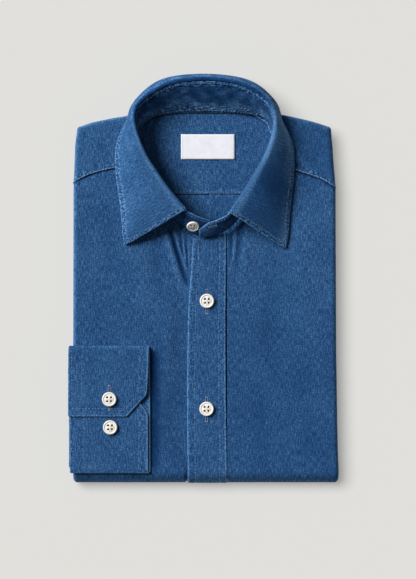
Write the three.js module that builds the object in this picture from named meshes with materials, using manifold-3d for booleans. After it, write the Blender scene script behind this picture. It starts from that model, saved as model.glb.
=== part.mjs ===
// Folded denim shirt, lying flat with its collar standing open
// Millimetres, +X to the right of the front, +Y towards the collar, +Z up
import * as THREE from 'three';
import * as BufferGeometryUtils from 'three/addons/utils/BufferGeometryUtils.js';
import Module from 'manifold-3d';

const wasm = await Module();
wasm.setup();

// Cloth and the folded stack
const CLOTH = 1.6;
const GAP = 0.3;
const STACK_HEIGHT = 22;
const BOTTOM_LINE = -184.2;
const FOLD_REACH = 3.5;
const FOLD_DROP = 4.9;
const FOLD_END = 165;
const BOTTOM_FOLD_END = 150;
const PLACKET_SAG = 1.3;
const PLACKET_LIFT = 0.6;
const NECK_FLOOR = 13.6;

// Turned edges, in degrees from the flat panel towards the underside
const EDGE_ANGLES = [22, 48, 75, 103, 133, FOLD_END];
const BOTTOM_ANGLES = [BOTTOM_FOLD_END, 122, 94, 66, 40, 18];

// Rows of the flat panels, as shares of their length
const FRONT_SHARES = [0, 0.12, 0.26, 0.4, 0.54, 0.66, 0.76, 0.85, 0.93, 1];
const YOKE_SHARES = [0, 0.35, 0.7, 1];

// Side edges of the folded body: y, left x, right x
const SIDE_EDGES = [
  [-184.5, -119.1, 120.3],
  [-150, -119.1, 119.0],
  [-110, -119.0, 118.3],
  [-64, -118.9, 117.6],
  [80, -118.6, 117.0],
  [120, -117.0, 114.2],
  [136, -115.0, 112.7],
];
const SIDE_REFERENCE = 86;

// Upper edge of the left front, from the centre to the side: x, y
const LEFT_FRONT_TOP = [
  [17, 38], [8, 36.5], [-2, 36.8], [-10, 39.8], [-19, 45.6], [-30, 56], [-42, 70], [-52, 84],
  [-60, 96.5], [-66, 101], [-75, 100.2], [-86, 98.2], [-96, 95.8], [-106, 92.6], [-115.1, 88],
];

// Upper edge of the right front, from the placket seam to the side: x, y
const RIGHT_FRONT_TOP = [
  [19.4, 43.9], [26, 50.2], [34, 58.6], [43, 70.6], [52, 84], [60, 96.5], [66, 100.6], [75, 99],
  [85, 95.9], [95, 92.5], [105, 89.1], [113.5, 83.5],
];

// Outer yoke: x, front edge y, shoulder fold y
const YOKE_EDGES = [
  [-115.1, 88, 137],
  [-106, 92.6, 141],
  [-96, 95.8, 143.2],
  [-86, 98.2, 144.9],
  [-75, 100.2, 146.1],
  [-66, 101, 147.9],
  [-63, 124, 148.5],
  [-57, 140, 149.6],
  [-46, 146.5, 151.4],
  [-30, 148.4, 153.4],
  [0, 149, 154.6],
  [30, 148.4, 153.4],
  [46, 146.5, 151.4],
  [57, 140, 149.6],
  [63, 124, 148.6],
  [66, 100.6, 148.2],
  [75, 99, 146.9],
  [85, 95.9, 145.2],
  [95, 92.5, 143.2],
  [105, 89.1, 140.3],
  [113.5, 83.5, 136.9],
];

// Front placket: y, left x, right x; its top follows the seam of the stand: share of the width, y
const PLACKET_TOP = [[0, 35.5], [0.25, 36.2], [0.5, 37.2], [0.75, 40.4], [1, 44]];
const PLACKET_EDGES = [
  [-173.2, -15.8, 19.7],
  [-140, -16.4, 19.4],
  [-100, -16.6, 18.9],
  [-55, -16.0, 18.6],
  [-28, -15.3, 18.6],
  [-10, -14.2, 18.8],
  [7, -12.9, 19.1],
  [25, -11.8, 19.1],
  [44, -11.2, 19.1],
];

// Collar stations from the button end round the back to the buttonhole end
// The stand bows up by STAND_BOW between its seam and its join
// seam: where the stand meets the body; join: where the stand meets the leaf
const STAND_STATIONS = [
  { seam: [5, 38.2, 23.4], join: [4.5, 51.6, 34.6] },
  { seam: [-4, 38.4, 23.6], join: [-3.4, 54, 37.4] },
  { seam: [-12, 41, 23.8], join: [-10.2, 56.8, 39.4] },
  { seam: [-21, 47.2, 23.8], join: [-17.2, 60.4, 40.4] },
  { seam: [-32, 57.2, 23.8], join: [-26.4, 70.8, 41] },
  { seam: [-44, 71.6, 23.8], join: [-35.4, 81.8, 41.4] },
  { seam: [-54, 85.8, 23.8], join: [-45.4, 96.2, 41.4] },
  { seam: [-61.6, 98.4, 23.8], join: [-52.4, 106.8, 41.4] },
  { seam: [-65.4, 112, 23.8], join: [-58.4, 119.6, 41] },
  { seam: [-64.4, 127, 22.6], join: [-62.6, 133, 40.2] },
  { seam: [-57.4, 141, 19.4], join: [-63.2, 147.6, 39.2] },
  { seam: [-45.4, 147.9, 17.2], join: [-54.6, 160.6, 38.4] },
  { seam: [-26, 150.3, 16.7], join: [-30.6, 173.6, 37.6] },
  { seam: [0, 150.9, 16.7], join: [0, 177.2, 37.4] },
  { seam: [26, 150.3, 16.7], join: [30.6, 173.4, 37.6] },
  { seam: [46, 147.8, 17.2], join: [52.8, 161.4, 38.4] },
  { seam: [57.4, 141, 19.4], join: [61.4, 147.6, 39.2] },
  { seam: [64, 127, 22.6], join: [61.8, 133, 40.2] },
  { seam: [65.4, 112, 23.8], join: [58.4, 119.6, 41] },
  { seam: [61.6, 98.4, 23.8], join: [53, 106.8, 41.4] },
  { seam: [54, 85.8, 23.8], join: [46.6, 96, 41.4] },
  { seam: [45, 71.6, 23.9], join: [38.4, 82, 41.4] },
  { seam: [34, 57.4, 24.4], join: [29.4, 68.6, 41.2] },
  { seam: [22.6, 45.2, 25.6], join: [21.6, 57.6, 40.6] },
  { seam: [12, 39.4, 26.2], join: [11.6, 52.2, 39.4] },
  { seam: [3, 37, 26.4], join: [3, 49.4, 37.6] },
  { seam: [-5.2, 36.6, 26.2], join: [-6.2, 43.6, 31.8] },
];
const STAND_BOW = 1.2;

// Collar leaf, on the stand stations from the left point to the right point
// crown: underface halfway down the fall; edge: underface at the outer edge
const LEAF_STATIONS = [
  { crown: [-41, 47.4, 34.6], edge: [-72.4, 30.2, 22.9] },
  { crown: [-45.6, 58.8, 36.8], edge: [-73.9, 41.5, 22.9] },
  { crown: [-50.4, 72.4, 38.2], edge: [-75.2, 57, 22.9] },
  { crown: [-56.4, 87.2, 39], edge: [-77.1, 74, 22.9] },
  { crown: [-62, 100.2, 39], edge: [-79.3, 91, 22.9] },
  { crown: [-66, 114.8, 38.2], edge: [-80.2, 108, 23] },
  { crown: [-68.2, 129.6, 36.6], edge: [-78.8, 121.6, 23.2] },
  { crown: [-66.6, 145, 33.6], edge: [-70.2, 142.2, 23.2] },
  { crown: [-60.2, 160.8, 31], edge: [-62.8, 154.4, 13.5] },
  { crown: [-37.6, 177.8, 27.5], edge: [-34, 166.6, 5] },
  { crown: [0, 182.2, 26.5], edge: [0, 169, 4] },
  { crown: [37.4, 177.2, 27.5], edge: [34, 166.6, 5] },
  { crown: [59, 161.2, 31], edge: [61.8, 154.4, 13.5] },
  { crown: [64.2, 145, 33.6], edge: [68.6, 142.2, 23.2] },
  { crown: [67.6, 129.6, 36.6], edge: [77.2, 121.6, 23.2] },
  { crown: [66, 114.8, 38.2], edge: [79.2, 108, 23] },
  { crown: [62.4, 100.2, 39], edge: [78.6, 91, 22.9] },
  { crown: [57.8, 86.8, 39], edge: [77, 74, 22.9] },
  { crown: [52.8, 71.6, 38.2], edge: [75.4, 57, 22.9] },
  { crown: [48.2, 57.2, 36.8], edge: [74.2, 40, 22.9] },
  { crown: [44, 44.4, 34.8], edge: [72.2, 27.2, 22.9] },
];
const LEAF_FIRST_STATION = 3;
const ROLL_RISE = 5;

// Cuff strip round its flattened loop: y, height of the outer face, left edge x, right edge x
const CUFF_CLOTH = 1.4;
const CUFF_PATH = [
  { y: -124.4, z: 27.4, left: -123.4, right: -70.6 },
  { y: -114.4, z: 27.4, left: -123.5, right: -61.2 },
  { y: -104.4, z: 27.4, left: -123.5, right: -52.4 },
  { y: -84, z: 27.2, left: -123.4, right: -51.2 },
  { y: -64, z: 27, left: -123.2, right: -50.6 },
  { y: -61.4, z: 26.4, left: -123, right: -50.6 },
  { y: -60.3, z: 24.7, left: -122.6, right: -50.6 },
  { y: -61.4, z: 23, left: -122.2, right: -50.2 },
  { y: -64, z: 22.4, left: -121.8, right: -50 },
  { y: -110, z: 22.4, left: -121.6, right: -49.4 },
  { y: -173.6, z: 22.4, left: -121.6, right: -49.2 },
  { y: -175.2, z: 23, left: -121.7, right: -49.6 },
  { y: -175.7, z: 24.1, left: -121.8, right: -50.6 },
  { y: -175.2, z: 25.2, left: -121.9, right: -51.2 },
  { y: -173.6, z: 25.7, left: -122, right: -51.4 },
  { y: -121.9, z: 25.7, left: -122, right: -51.4 },
  { y: -112.4, z: 25.7, left: -122, right: -58.2 },
];

// Sleeve from the cuff round the left side into the stack: x, z of the outer face
const SLEEVE_ENDS = [-170, -62];
const SLEEVE_CLOTH = 1.4;
const SLEEVE_PATH = [
  [-121.6, 21.9], [-122.7, 20.6], [-123.3, 18], [-123.4, 15], [-122.6, 12], [-120.6, 10.5],
  [-116, 10.1], [-111, 10.1],
];

// Neck lining pieces and label
const INNER_YOKE_BOTTOM = 76;
const NECK_CLOTH = 1.4;
const INNER_YOKE_EDGES = [
  [-64, 124], [-61, 132], [-56, 137.6], [-49, 142.6], [-42, 146], [-30, 148.1], [0, 148.7],
  [30, 148.1], [42, 146], [49, 142.6], [56, 137.6], [61, 132], [64, 124],
];

// Back panel below the inner yoke: x, rise of the cloth, highest at the pleat
const BACK_BOTTOM = 52;
const PLEAT_X = 2.4;
const PLEAT_RISE = 0.8;
const BACK_COLUMNS = [
  [-50, 0], [-25, 0], [PLEAT_X - 1, 0], [PLEAT_X, PLEAT_RISE], [PLEAT_X + 12, PLEAT_RISE / 2],
  [30, 0], [50, 0],
];
const LABEL = { width: 48.2, length: 22.5, cloth: 1, x: 2.2, y: 118.6 };

// Buttons
const BUTTON = { radius: 6.5, rim: 5.2, height: 2.6, dish: 1.9, hole: 0.85, spread: 1.55 };
const BUTTON_LIFT = 0.3;

const RAD = Math.PI / 180;
const lerp = THREE.MathUtils.lerp;
const smooth = (value) => THREE.MathUtils.smoothstep(value, 0, 1);
const vector = (list) => new THREE.Vector3(...list);

// Reads a column of a table whose first column rises, between its rows
function lookup(table, key, column) {
  const last = table.length - 1;
  if (key <= table[0][0]) return table[0][column];
  for (let row = 0; row < last; row += 1) {
    if (key <= table[row + 1][0]) {
      const share = (key - table[row][0]) / (table[row + 1][0] - table[row][0]);
      return lerp(table[row][column], table[row + 1][column], share);
    }
  }
  return table[last][column];
}

const leftSide = (y) => lookup(SIDE_EDGES, y, 1);
const rightSide = (y) => lookup(SIDE_EDGES, y, 2);

// The stack is thinner behind the neck, where only the back lies
const BACK_DIP = { share: 0.27, halfWidth: 74, start: 118, fade: 22 };

function squash(x, y) {
  const across = smooth((BACK_DIP.halfWidth - Math.abs(x)) / BACK_DIP.fade);
  return BACK_DIP.share * across * smooth((y - BACK_DIP.start) / BACK_DIP.fade);
}

// The cloth under the placket lies lower
const SAG = { x: 2, halfWidth: 38, fade: 16 };

function placketSag(x) {
  return PLACKET_SAG * smooth((SAG.halfWidth - Math.abs(x - SAG.x)) / SAG.fade);
}

// Puts a panel point on the stack; the turned edges run round the side, top or bottom fold
function place(x, y, turn, lift) {
  const angle = Math.max(Math.abs(turn.side), turn.top);
  const spread = Math.hypot(turn.side, turn.top) || 1;
  const out = (FOLD_REACH + lift) * Math.sin(angle * RAD);
  const depth = FOLD_DROP - (FOLD_DROP + lift) * Math.cos(angle * RAD);
  const radius = STACK_HEIGHT / 2 - depth;
  const px = x + out * turn.side / spread;
  const py = y + out * turn.top / spread - radius * Math.sin(turn.bottom * RAD);
  const pz = STACK_HEIGHT / 2 + radius * Math.cos(turn.bottom * RAD);
  return new THREE.Vector3(px, py, pz * (1 - squash(px, py)));
}

// One closed body between two matching grids of points
function body(outer, inner) {
  const rows = outer.length;
  const columns = outer[0].length;
  const points = [...outer.flat(), ...inner.flat()];
  const under = rows * columns;
  const faces = [];
  const quad = (a, b, c, d) => faces.push(a, b, c, a, c, d);
  for (let row = 0; row < rows - 1; row += 1) {
    for (let column = 0; column < columns - 1; column += 1) {
      const a = row * columns + column;
      const b = a + columns;
      quad(a, b, b + 1, a + 1);
      quad(under + a, under + a + 1, under + b + 1, under + b);
    }
  }
  const rim = [];
  for (let column = 0; column < columns - 1; column += 1) rim.push(column);
  for (let row = 0; row < rows - 1; row += 1) rim.push(row * columns + columns - 1);
  for (let column = columns - 1; column > 0; column -= 1) rim.push((rows - 1) * columns + column);
  for (let row = rows - 1; row > 0; row -= 1) rim.push(row * columns);
  rim.forEach((a, index) => {
    const b = rim[(index + 1) % rim.length];
    quad(a, b, under + b, under + a);
  });
  return solid(points, faces);
}

// Geometry from points and faces, turned so that its faces point out
function solid(points, faces) {
  const geometry = new THREE.BufferGeometry().setFromPoints(points);
  let volume = 0;
  for (let face = 0; face < faces.length; face += 3) {
    const [a, b, c] = [points[faces[face]], points[faces[face + 1]], points[faces[face + 2]]];
    volume += a.dot(new THREE.Vector3().crossVectors(b, c));
  }
  geometry.setIndex(volume > 0 ? faces : faces.slice().reverse());
  return geometry;
}

// Cloth of even thickness on one side of a grid
function cloth(grid, thickness) {
  const rows = grid.length;
  const columns = grid[0].length;
  const other = grid.map((line, row) => line.map((point, column) => {
    const along = new THREE.Vector3().subVectors(
      grid[Math.min(row + 1, rows - 1)][column], grid[Math.max(row - 1, 0)][column]);
    const across = new THREE.Vector3().subVectors(
      line[Math.min(column + 1, columns - 1)], line[Math.max(column - 1, 0)]);
    return along.cross(across).setLength(thickness).add(point);
  }));
  return body(grid, other);
}

// A panel on the stack: columns hold x and a side turn, rows a share of the length and a turn
function panel(columns, rows, span, lift, thickness) {
  const grid = (drop) => rows.map((row) => columns.map((column) => {
    const [low, high] = span(column);
    const y = lerp(low, high, row.share);
    const scale = column.edge(y) / column.edge(SIDE_REFERENCE);
    return place(column.x * scale, y, { side: column.side, ...row.turn }, lift(column.x) - drop);
  }));
  return body(grid(0), grid(thickness));
}

// Columns of a panel from its edge table, going on round one side fold
function sideColumns(table, edge, sign) {
  const flat = table.map(([x, high]) => ({ x, high, side: 0, edge }));
  const last = flat[flat.length - 1];
  return [...flat, ...EDGE_ANGLES.map((angle) => ({ ...last, side: sign * angle }))];
}

function frontPanel(table, edge, sign, lift) {
  const rows = [
    ...BOTTOM_ANGLES.map((bottom) => ({ share: 0, turn: { top: 0, bottom } })),
    ...FRONT_SHARES.map((share) => ({ share, turn: { top: 0, bottom: 0 } })),
  ];
  const low = BOTTOM_LINE + STACK_HEIGHT / 2;
  const columns = sideColumns(table, edge, sign);
  return panel(columns, rows, (column) => [low, column.high], lift, CLOTH);
}

function placket() {
  const turned = BOTTOM_ANGLES.map((bottom) => [PLACKET_EDGES[0], { top: 0, side: 0, bottom }]);
  const flat = PLACKET_EDGES.map((edge) => [edge, { top: 0, side: 0, bottom: 0 }]);
  const grid = (lift) => [...turned, ...flat].map(([[y, left, right], turn]) => (
    PLACKET_TOP.map(([share, top]) => place(lerp(left, right, share), Math.min(y, top), turn, lift))));
  return body(grid(PLACKET_LIFT), grid(PLACKET_LIFT - CLOTH));
}

// The outer yoke: both shoulders, joined behind the neck
function outerYoke() {
  const first = YOKE_EDGES[0];
  const last = YOKE_EDGES[YOKE_EDGES.length - 1];
  const column = ([x, front, fold], side) => (
    { x, low: front + GAP, high: fold - FOLD_REACH, side, edge: x < 0 ? leftSide : rightSide });
  const columns = [
    ...EDGE_ANGLES.slice().reverse().map((angle) => column(first, -angle)),
    ...YOKE_EDGES.map((edge) => column(edge, 0)),
    ...EDGE_ANGLES.map((angle) => column(last, angle)),
  ];
  const rows = [
    ...YOKE_SHARES.map((share) => ({ share, turn: { top: 0, bottom: 0 } })),
    ...EDGE_ANGLES.map((top) => ({ share: 1, turn: { top, bottom: 0 } })),
  ];
  return panel(columns, rows, ({ low, high }) => [low, high], () => 0, CLOTH);
}

// Hidden layers: heights up the stack's side with how far each lies inside the side edge
const HIDDEN_TOP = STACK_HEIGHT - CLOTH - PLACKET_SAG - GAP;
const HIDDEN_LEVELS = [
  { z: 0, side: 3.4 },
  { z: 0.6, side: 2.2 },
  { z: 1.7, side: 1.4 },
  { z: 2.9, side: 2.4 },
  { z: 4.2, side: 1 },
  { z: 5.4, side: 1 },
  { z: 6.6, side: 2.2 },
  { z: 7.8, side: 1.4 },
  { z: 9, side: 3 },
  { z: 9.6, side: 12 },
  { z: 12.2, side: 12 },
  { z: 13.6, side: 4 },
  { z: 15.4, side: 2.6 },
  { z: 17.1, side: 2.5 },
  { z: 18.2, side: 3 },
  { z: HIDDEN_TOP, side: 4.4 },
];
const HIDDEN_CORNER = 9;
const HIDDEN_HEEL = 7.6;
const SHOULDER_RECESS = 1.8;

// How far the hidden layers lie inside the rounded bottom fold at a height
function heelInset(z) {
  const half = STACK_HEIGHT / 2;
  const radius = HIDDEN_TOP - half;
  if (z < half / 2) return HIDDEN_HEEL + 3 * (1 - Math.min(z, 1));
  return half - Math.sqrt(Math.max(radius ** 2 - (z - half) ** 2, 0));
}

// Neck hollow of the hidden layers, seen from its middle
const HOLLOW = { y: 104, halfWidth: 68, front: 57, back: 70, slope: 7 };

function hollowRadius(angle) {
  const reach = Math.sin(angle) < 0 ? HOLLOW.front : HOLLOW.back;
  const side = Math.abs(Math.cos(angle)) / HOLLOW.halfWidth;
  const end = Math.abs(Math.sin(angle)) / reach;
  return (side ** 4 + end ** 4) ** -0.25;
}

function hiddenTop(x, y) {
  const distance = Math.hypot(x, y - HOLLOW.y);
  const radius = hollowRadius(Math.atan2(y - HOLLOW.y, x));
  const floor = smooth((radius + HOLLOW.slope - distance) / HOLLOW.slope);
  return Math.min(lerp(HIDDEN_TOP, NECK_FLOOR, floor), HIDDEN_TOP * (1 - squash(x, y)));
}

// Outline of the hidden layers at one level, with round corners
const CORNER_STEPS = [0, 30, 60, 90];
const SIDE_STEPS = [-150, -110, -64, -10, 40, 80, 110];
const BOTTOM_STEPS = [-80, -40, 0, 40, 80];
const LEFT_SHOULDER = YOKE_EDGES[0][2];
const RIGHT_SHOULDER = YOKE_EDGES[YOKE_EDGES.length - 1][2];

function hiddenOutline({ z, side }) {
  const corner = HIDDEN_CORNER;
  const points = [];
  const left = (y) => leftSide(y) + side;
  const right = (y) => rightSide(y) - side;
  const low = BOTTOM_LINE + heelInset(z);
  const shoulder = side + SHOULDER_RECESS;
  const arc = (x, y, start) => CORNER_STEPS.forEach((step) => {
    const turn = (start + step) * RAD;
    points.push([x + corner * Math.cos(turn), y + corner * Math.sin(turn)]);
  });
  arc(right(low) - corner, low + corner, -90);
  SIDE_STEPS.forEach((y) => points.push([right(y), y]));
  arc(right(RIGHT_SHOULDER) - corner, RIGHT_SHOULDER - shoulder - corner, 0);
  YOKE_EDGES.slice(2, -2).reverse().forEach(([x, , fold]) => points.push([x, fold - shoulder]));
  arc(left(LEFT_SHOULDER) + corner, LEFT_SHOULDER - shoulder - corner, 90);
  SIDE_STEPS.slice().reverse().forEach((y) => points.push([left(y), y]));
  arc(left(low) + corner, low + corner, 180);
  BOTTOM_STEPS.forEach((x) => points.push([x, low]));
  return points;
}

// Rings of the hidden top from its rim into the hollow, which starts foot away from its middle
const TOP_RINGS = [
  { margin: 0.97, reach: (distance, foot) => lerp(distance, foot + HOLLOW.slope, 0.5) },
  { margin: 0.95, reach: (distance, foot) => foot + HOLLOW.slope },
  { margin: 0.93, reach: (distance, foot) => foot },
  { margin: 0.91, reach: (distance, foot) => foot / 2 },
];

function hiddenLayers() {
  const rings = HIDDEN_LEVELS.map((level) => hiddenOutline(level).map(([x, y]) => (
    new THREE.Vector3(x, y, level.z * hiddenTop(x, y) / HIDDEN_TOP))));
  const rim = rings[rings.length - 1];
  const middle = new THREE.Vector3(0, HOLLOW.y, NECK_FLOOR);
  TOP_RINGS.forEach(({ margin, reach }) => rings.push(rim.map((point) => {
    const [dx, dy] = [point.x, point.y - HOLLOW.y];
    const distance = Math.hypot(dx, dy);
    const foot = hollowRadius(Math.atan2(dy, dx));
    const held = Math.min(reach(distance, foot) / distance, margin);
    const [x, y] = [dx * held, HOLLOW.y + dy * held];
    return new THREE.Vector3(x, y, hiddenTop(x, y));
  })));
  const columns = rim.length;
  const points = [...rings.flat(), middle, new THREE.Vector3(0, HOLLOW.y, 0)];
  const faces = [];
  for (let ring = 0; ring < rings.length - 1; ring += 1) {
    for (let column = 0; column < columns; column += 1) {
      const next = (column + 1) % columns;
      const [a, b] = [ring * columns + column, ring * columns + next];
      faces.push(a, b, b + columns, a, b + columns, a + columns);
    }
  }
  const start = (rings.length - 1) * columns;
  const centre = rings.length * columns;
  for (let column = 0; column < columns; column += 1) {
    const next = (column + 1) % columns;
    faces.push(start + column, start + next, centre, next, column, centre + 1);
  }
  return solid(points, faces);
}

// Smooth columns through the stations of a table
function stationCurve(stations, key) {
  return new THREE.CatmullRomCurve3(stations.map((station) => vector(station[key])));
}

function collarStand() {
  const seam = stationCurve(STAND_STATIONS, 'seam');
  const join = stationCurve(STAND_STATIONS, 'join');
  const count = (STAND_STATIONS.length - 1) * 2;
  const grid = Array.from({ length: count + 1 }, (_, index) => {
    const [low, high] = [seam.getPoint(index / count), join.getPoint(index / count)];
    return [0, 0.33, 0.67, 1].map((share) => {
      const point = low.clone().lerp(high, share);
      point.z += STAND_BOW * Math.sin(Math.PI * share);
      return point;
    });
  });
  return cloth(grid, CLOTH);
}

// The fall of the leaf is a curve that rises with the stand and passes its crown halfway
function collarLeaf() {
  const first = LEAF_FIRST_STATION;
  const held = STAND_STATIONS.slice(first, first + LEAF_STATIONS.length);
  const [seam, join] = [stationCurve(held, 'seam'), stationCurve(held, 'join')];
  const crown = stationCurve(LEAF_STATIONS, 'crown');
  const edge = stationCurve(LEAF_STATIONS, 'edge');
  const shares = [0, 0.08, 0.16, 0.25, 0.36, 0.5, 0.66, 0.83, 1];
  const count = (held.length - 1) * 2;
  const grid = Array.from({ length: count + 1 }, (_, index) => {
    const at = index / count;
    const [foot, start] = [seam.getPoint(at), join.getPoint(at)];
    const rise = start.clone().sub(foot).normalize();
    start.addScaledVector(rise, GAP);
    const second = start.clone().addScaledVector(rise, ROLL_RISE);
    const last = edge.getPoint(at);
    const third = crown.getPoint(at).multiplyScalar(8).sub(start).addScaledVector(second, -3);
    third.sub(last).divideScalar(3);
    return shares.map((share) => new THREE.CubicBezierCurve3(start, second, third, last).getPoint(share));
  });
  return cloth(grid, CLOTH);
}

function cuff() {
  const shares = [0, 0.2, 0.4, 0.6, 0.8, 1];
  const grid = CUFF_PATH.map(({ y, z, left, right }) => (
    shares.map((share) => new THREE.Vector3(lerp(left, right, share), y, z))));
  return cloth(grid, CUFF_CLOTH);
}

function sleeve() {
  const [low, high] = SLEEVE_ENDS;
  const grid = SLEEVE_PATH.map(([x, z]) => (
    [0, 0.25, 0.5, 0.75, 1].map((share) => new THREE.Vector3(x, lerp(low, high, share), z))));
  return cloth(grid, SLEEVE_CLOTH);
}

function innerYoke() {
  const grid = (drop) => INNER_YOKE_EDGES.map(([x, back]) => (
    [0, 0.5, 1].map((share) => (
      new THREE.Vector3(x, lerp(INNER_YOKE_BOTTOM, back, share), NECK_FLOOR + GAP + drop)))));
  return body(grid(NECK_CLOTH), grid(0));
}

function backPanel() {
  const edge = INNER_YOKE_BOTTOM - GAP;
  const grid = (drop) => BACK_COLUMNS.map(([x, rise]) => (
    [BACK_BOTTOM, edge].map((y) => new THREE.Vector3(x, y, NECK_FLOOR + GAP + drop + rise))));
  return body(grid(NECK_CLOTH), grid(0));
}

function label() {
  const geometry = new THREE.BoxGeometry(LABEL.width, LABEL.length, LABEL.cloth);
  const rest = NECK_FLOOR + GAP + NECK_CLOTH + GAP;
  return geometry.translate(LABEL.x, LABEL.y, rest + LABEL.cloth / 2);
}

// Cut and join of closed bodies
function toManifold(geometry) {
  const plain = geometry.clone().deleteAttribute('normal').deleteAttribute('uv');
  const merged = BufferGeometryUtils.mergeVertices(plain, 1e-4);
  return new wasm.Manifold(new wasm.Mesh({
    numProp: 3,
    vertProperties: new Float32Array(merged.attributes.position.array),
    triVerts: new Uint32Array(merged.index.array),
  }));
}

function fromManifold(manifold) {
  const mesh = manifold.getMesh();
  const geometry = new THREE.BufferGeometry();
  geometry.setAttribute('position', new THREE.Float32BufferAttribute(mesh.vertProperties, 3));
  geometry.setIndex(Array.from(mesh.triVerts));
  return geometry;
}

// Four-hole button with a raised rim, its back on the plane z = 0
function buttonGeometry() {
  const { radius, rim, height, dish, hole, spread } = BUTTON;
  const profile = [
    [0, 0], [radius - 0.7, 0], [radius, 0.8], [radius, height - 0.8], [radius - 0.6, height],
    [rim, height], [rim - 0.6, dish], [0, dish]].map(([x, z]) => new THREE.Vector2(x, z));
  let button = toManifold(new THREE.LatheGeometry(profile, 24).rotateX(Math.PI / 2));
  [[-1, -1], [-1, 1], [1, -1], [1, 1]].forEach(([x, y]) => {
    const drill = new THREE.CylinderGeometry(hole, hole, height * 3, 8).rotateX(Math.PI / 2);
    button = button.subtract(toManifold(drill.translate(x * spread, y * spread, 0)));
  });
  return fromManifold(button);
}

// Buttons: name, place of the back, tilt about X in degrees
const BUTTONS = [
  { node: 'collar_button', at: [-11.1, 47.2, 32.4], tilt: 45, size: 0.86 },
  { node: 'front_button_upper', at: [1.5, -20.4, STACK_HEIGHT + PLACKET_LIFT], tilt: 0 },
  { node: 'front_button_lower', at: [1.2, -117.5, STACK_HEIGHT + PLACKET_LIFT], tilt: 0 },
  { node: 'cuff_button_upper', at: [-86.3, -108.7, 27.4], tilt: 0 },
  { node: 'cuff_button_lower', at: [-85.5, -134, 25.7], tilt: 0 },
];

const denim = (color) => new THREE.MeshStandardMaterial({ color, roughness: 0.95, metalness: 0 });
const bodyDenim = denim(0x2d557f);
const yokeDenim = denim(0x2f5989);
const insideDenim = denim(0x2a4d76);
const collarDenim = denim(0x33628f);
const labelCloth = new THREE.MeshStandardMaterial({ color: 0xebecf4, roughness: 0.85, metalness: 0 });
const buttonShell = new THREE.MeshStandardMaterial({ color: 0xe4e2dc, roughness: 0.35, metalness: 0 });

const shirt = new THREE.Group();

function add(node, geometry, material) {
  const mesh = new THREE.Mesh(geometry, material);
  mesh.name = node;
  shirt.add(mesh);
  return mesh;
}

add('folded_layers', hiddenLayers(), bodyDenim);
add('front_left', frontPanel(LEFT_FRONT_TOP, leftSide, -1, (x) => -placketSag(x)), bodyDenim);
add('front_right', frontPanel(RIGHT_FRONT_TOP, rightSide, 1, () => 0), bodyDenim);
add('placket', placket(), bodyDenim);
add('yoke', outerYoke(), yokeDenim);
add('yoke_inner', innerYoke(), insideDenim);
add('back', backPanel(), insideDenim);
add('collar_stand', collarStand(), collarDenim);
add('collar_leaf', collarLeaf(), collarDenim);
add('label', label(), labelCloth);
add('sleeve', sleeve(), bodyDenim);
add('cuff', cuff(), bodyDenim);
BUTTONS.forEach(({ node, at, tilt, size = 1 }) => {
  const button = add(node, buttonGeometry(), buttonShell);
  button.position.set(at[0], at[1], at[2] + BUTTON_LIFT);
  button.rotation.x = tilt * RAD;
  button.scale.setScalar(size);
});

// The origin is under the middle of the whole shirt
const extent = new THREE.Box3().setFromObject(shirt);
const centre = extent.getCenter(new THREE.Vector3());
shirt.position.set(-centre.x, -centre.y, -extent.min.z);

export default shirt;
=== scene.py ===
# Folded denim shirt with an open standing collar
# Sizes are millimetres in the shirt's own frame, with y = 0 at mid length; meshes are metres
import bisect
import math
import bmesh
import bpy
from mathutils import Matrix, Vector, noise


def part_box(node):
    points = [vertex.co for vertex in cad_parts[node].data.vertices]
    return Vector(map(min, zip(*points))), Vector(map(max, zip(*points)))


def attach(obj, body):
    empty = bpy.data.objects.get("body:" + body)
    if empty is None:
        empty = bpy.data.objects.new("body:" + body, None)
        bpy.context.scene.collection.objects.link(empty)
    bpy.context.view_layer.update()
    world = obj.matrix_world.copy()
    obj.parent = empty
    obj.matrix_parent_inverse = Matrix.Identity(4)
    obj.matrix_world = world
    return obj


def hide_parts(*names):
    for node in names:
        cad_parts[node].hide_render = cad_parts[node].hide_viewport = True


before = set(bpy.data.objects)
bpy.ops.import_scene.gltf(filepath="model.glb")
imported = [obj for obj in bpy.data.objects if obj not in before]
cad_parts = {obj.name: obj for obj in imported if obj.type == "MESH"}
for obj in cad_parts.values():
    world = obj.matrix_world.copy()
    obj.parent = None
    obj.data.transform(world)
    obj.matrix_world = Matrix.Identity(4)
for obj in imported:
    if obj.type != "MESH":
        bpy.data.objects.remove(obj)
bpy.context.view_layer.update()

MM = 0.001

# The photograph's frame: its height in pixels, the cloth that a pixel covers, and the camera
PHOTO_HEIGHT = 579
MM_PER_PIXEL = 0.9
PHOTO_MIDDLE = (2.4, -10.1)
CAMERA_HEIGHT = 3.0
SENSOR_HEIGHT = 24

# Cloth, the folded stack, and how its edges turn: reach and drop of a fold, end of each turn
CLOTH = 1.6
GAP = 0.3
STACK_HEIGHT = 22.0
BOTTOM_LINE = -184.2
FOLD_REACH = 3.5
FOLD_DROP = 4.9
FOLD_MEAN = (FOLD_REACH + FOLD_DROP) / 2
FOLD_END = 165
BOTTOM_FOLD_END = 150
PLACKET_SAG = 1.3
NECK_FLOOR = 13.6
NECK_CLOTH = 1.4
BACK_SQUASH = 0.27
HIDDEN_TOP = STACK_HEIGHT - CLOTH - PLACKET_SAG - GAP

# Side edges of the folded body: y, left x, right x
SIDE_EDGES = [
    (-184.5, -119.1, 120.3), (-150, -119.1, 119.0), (-110, -119.0, 118.3), (-64, -118.9, 117.6),
    (80, -118.6, 117.0), (120, -117.0, 114.2), (136, -115.0, 112.7),
]
SIDE_REFERENCE = 86

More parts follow.
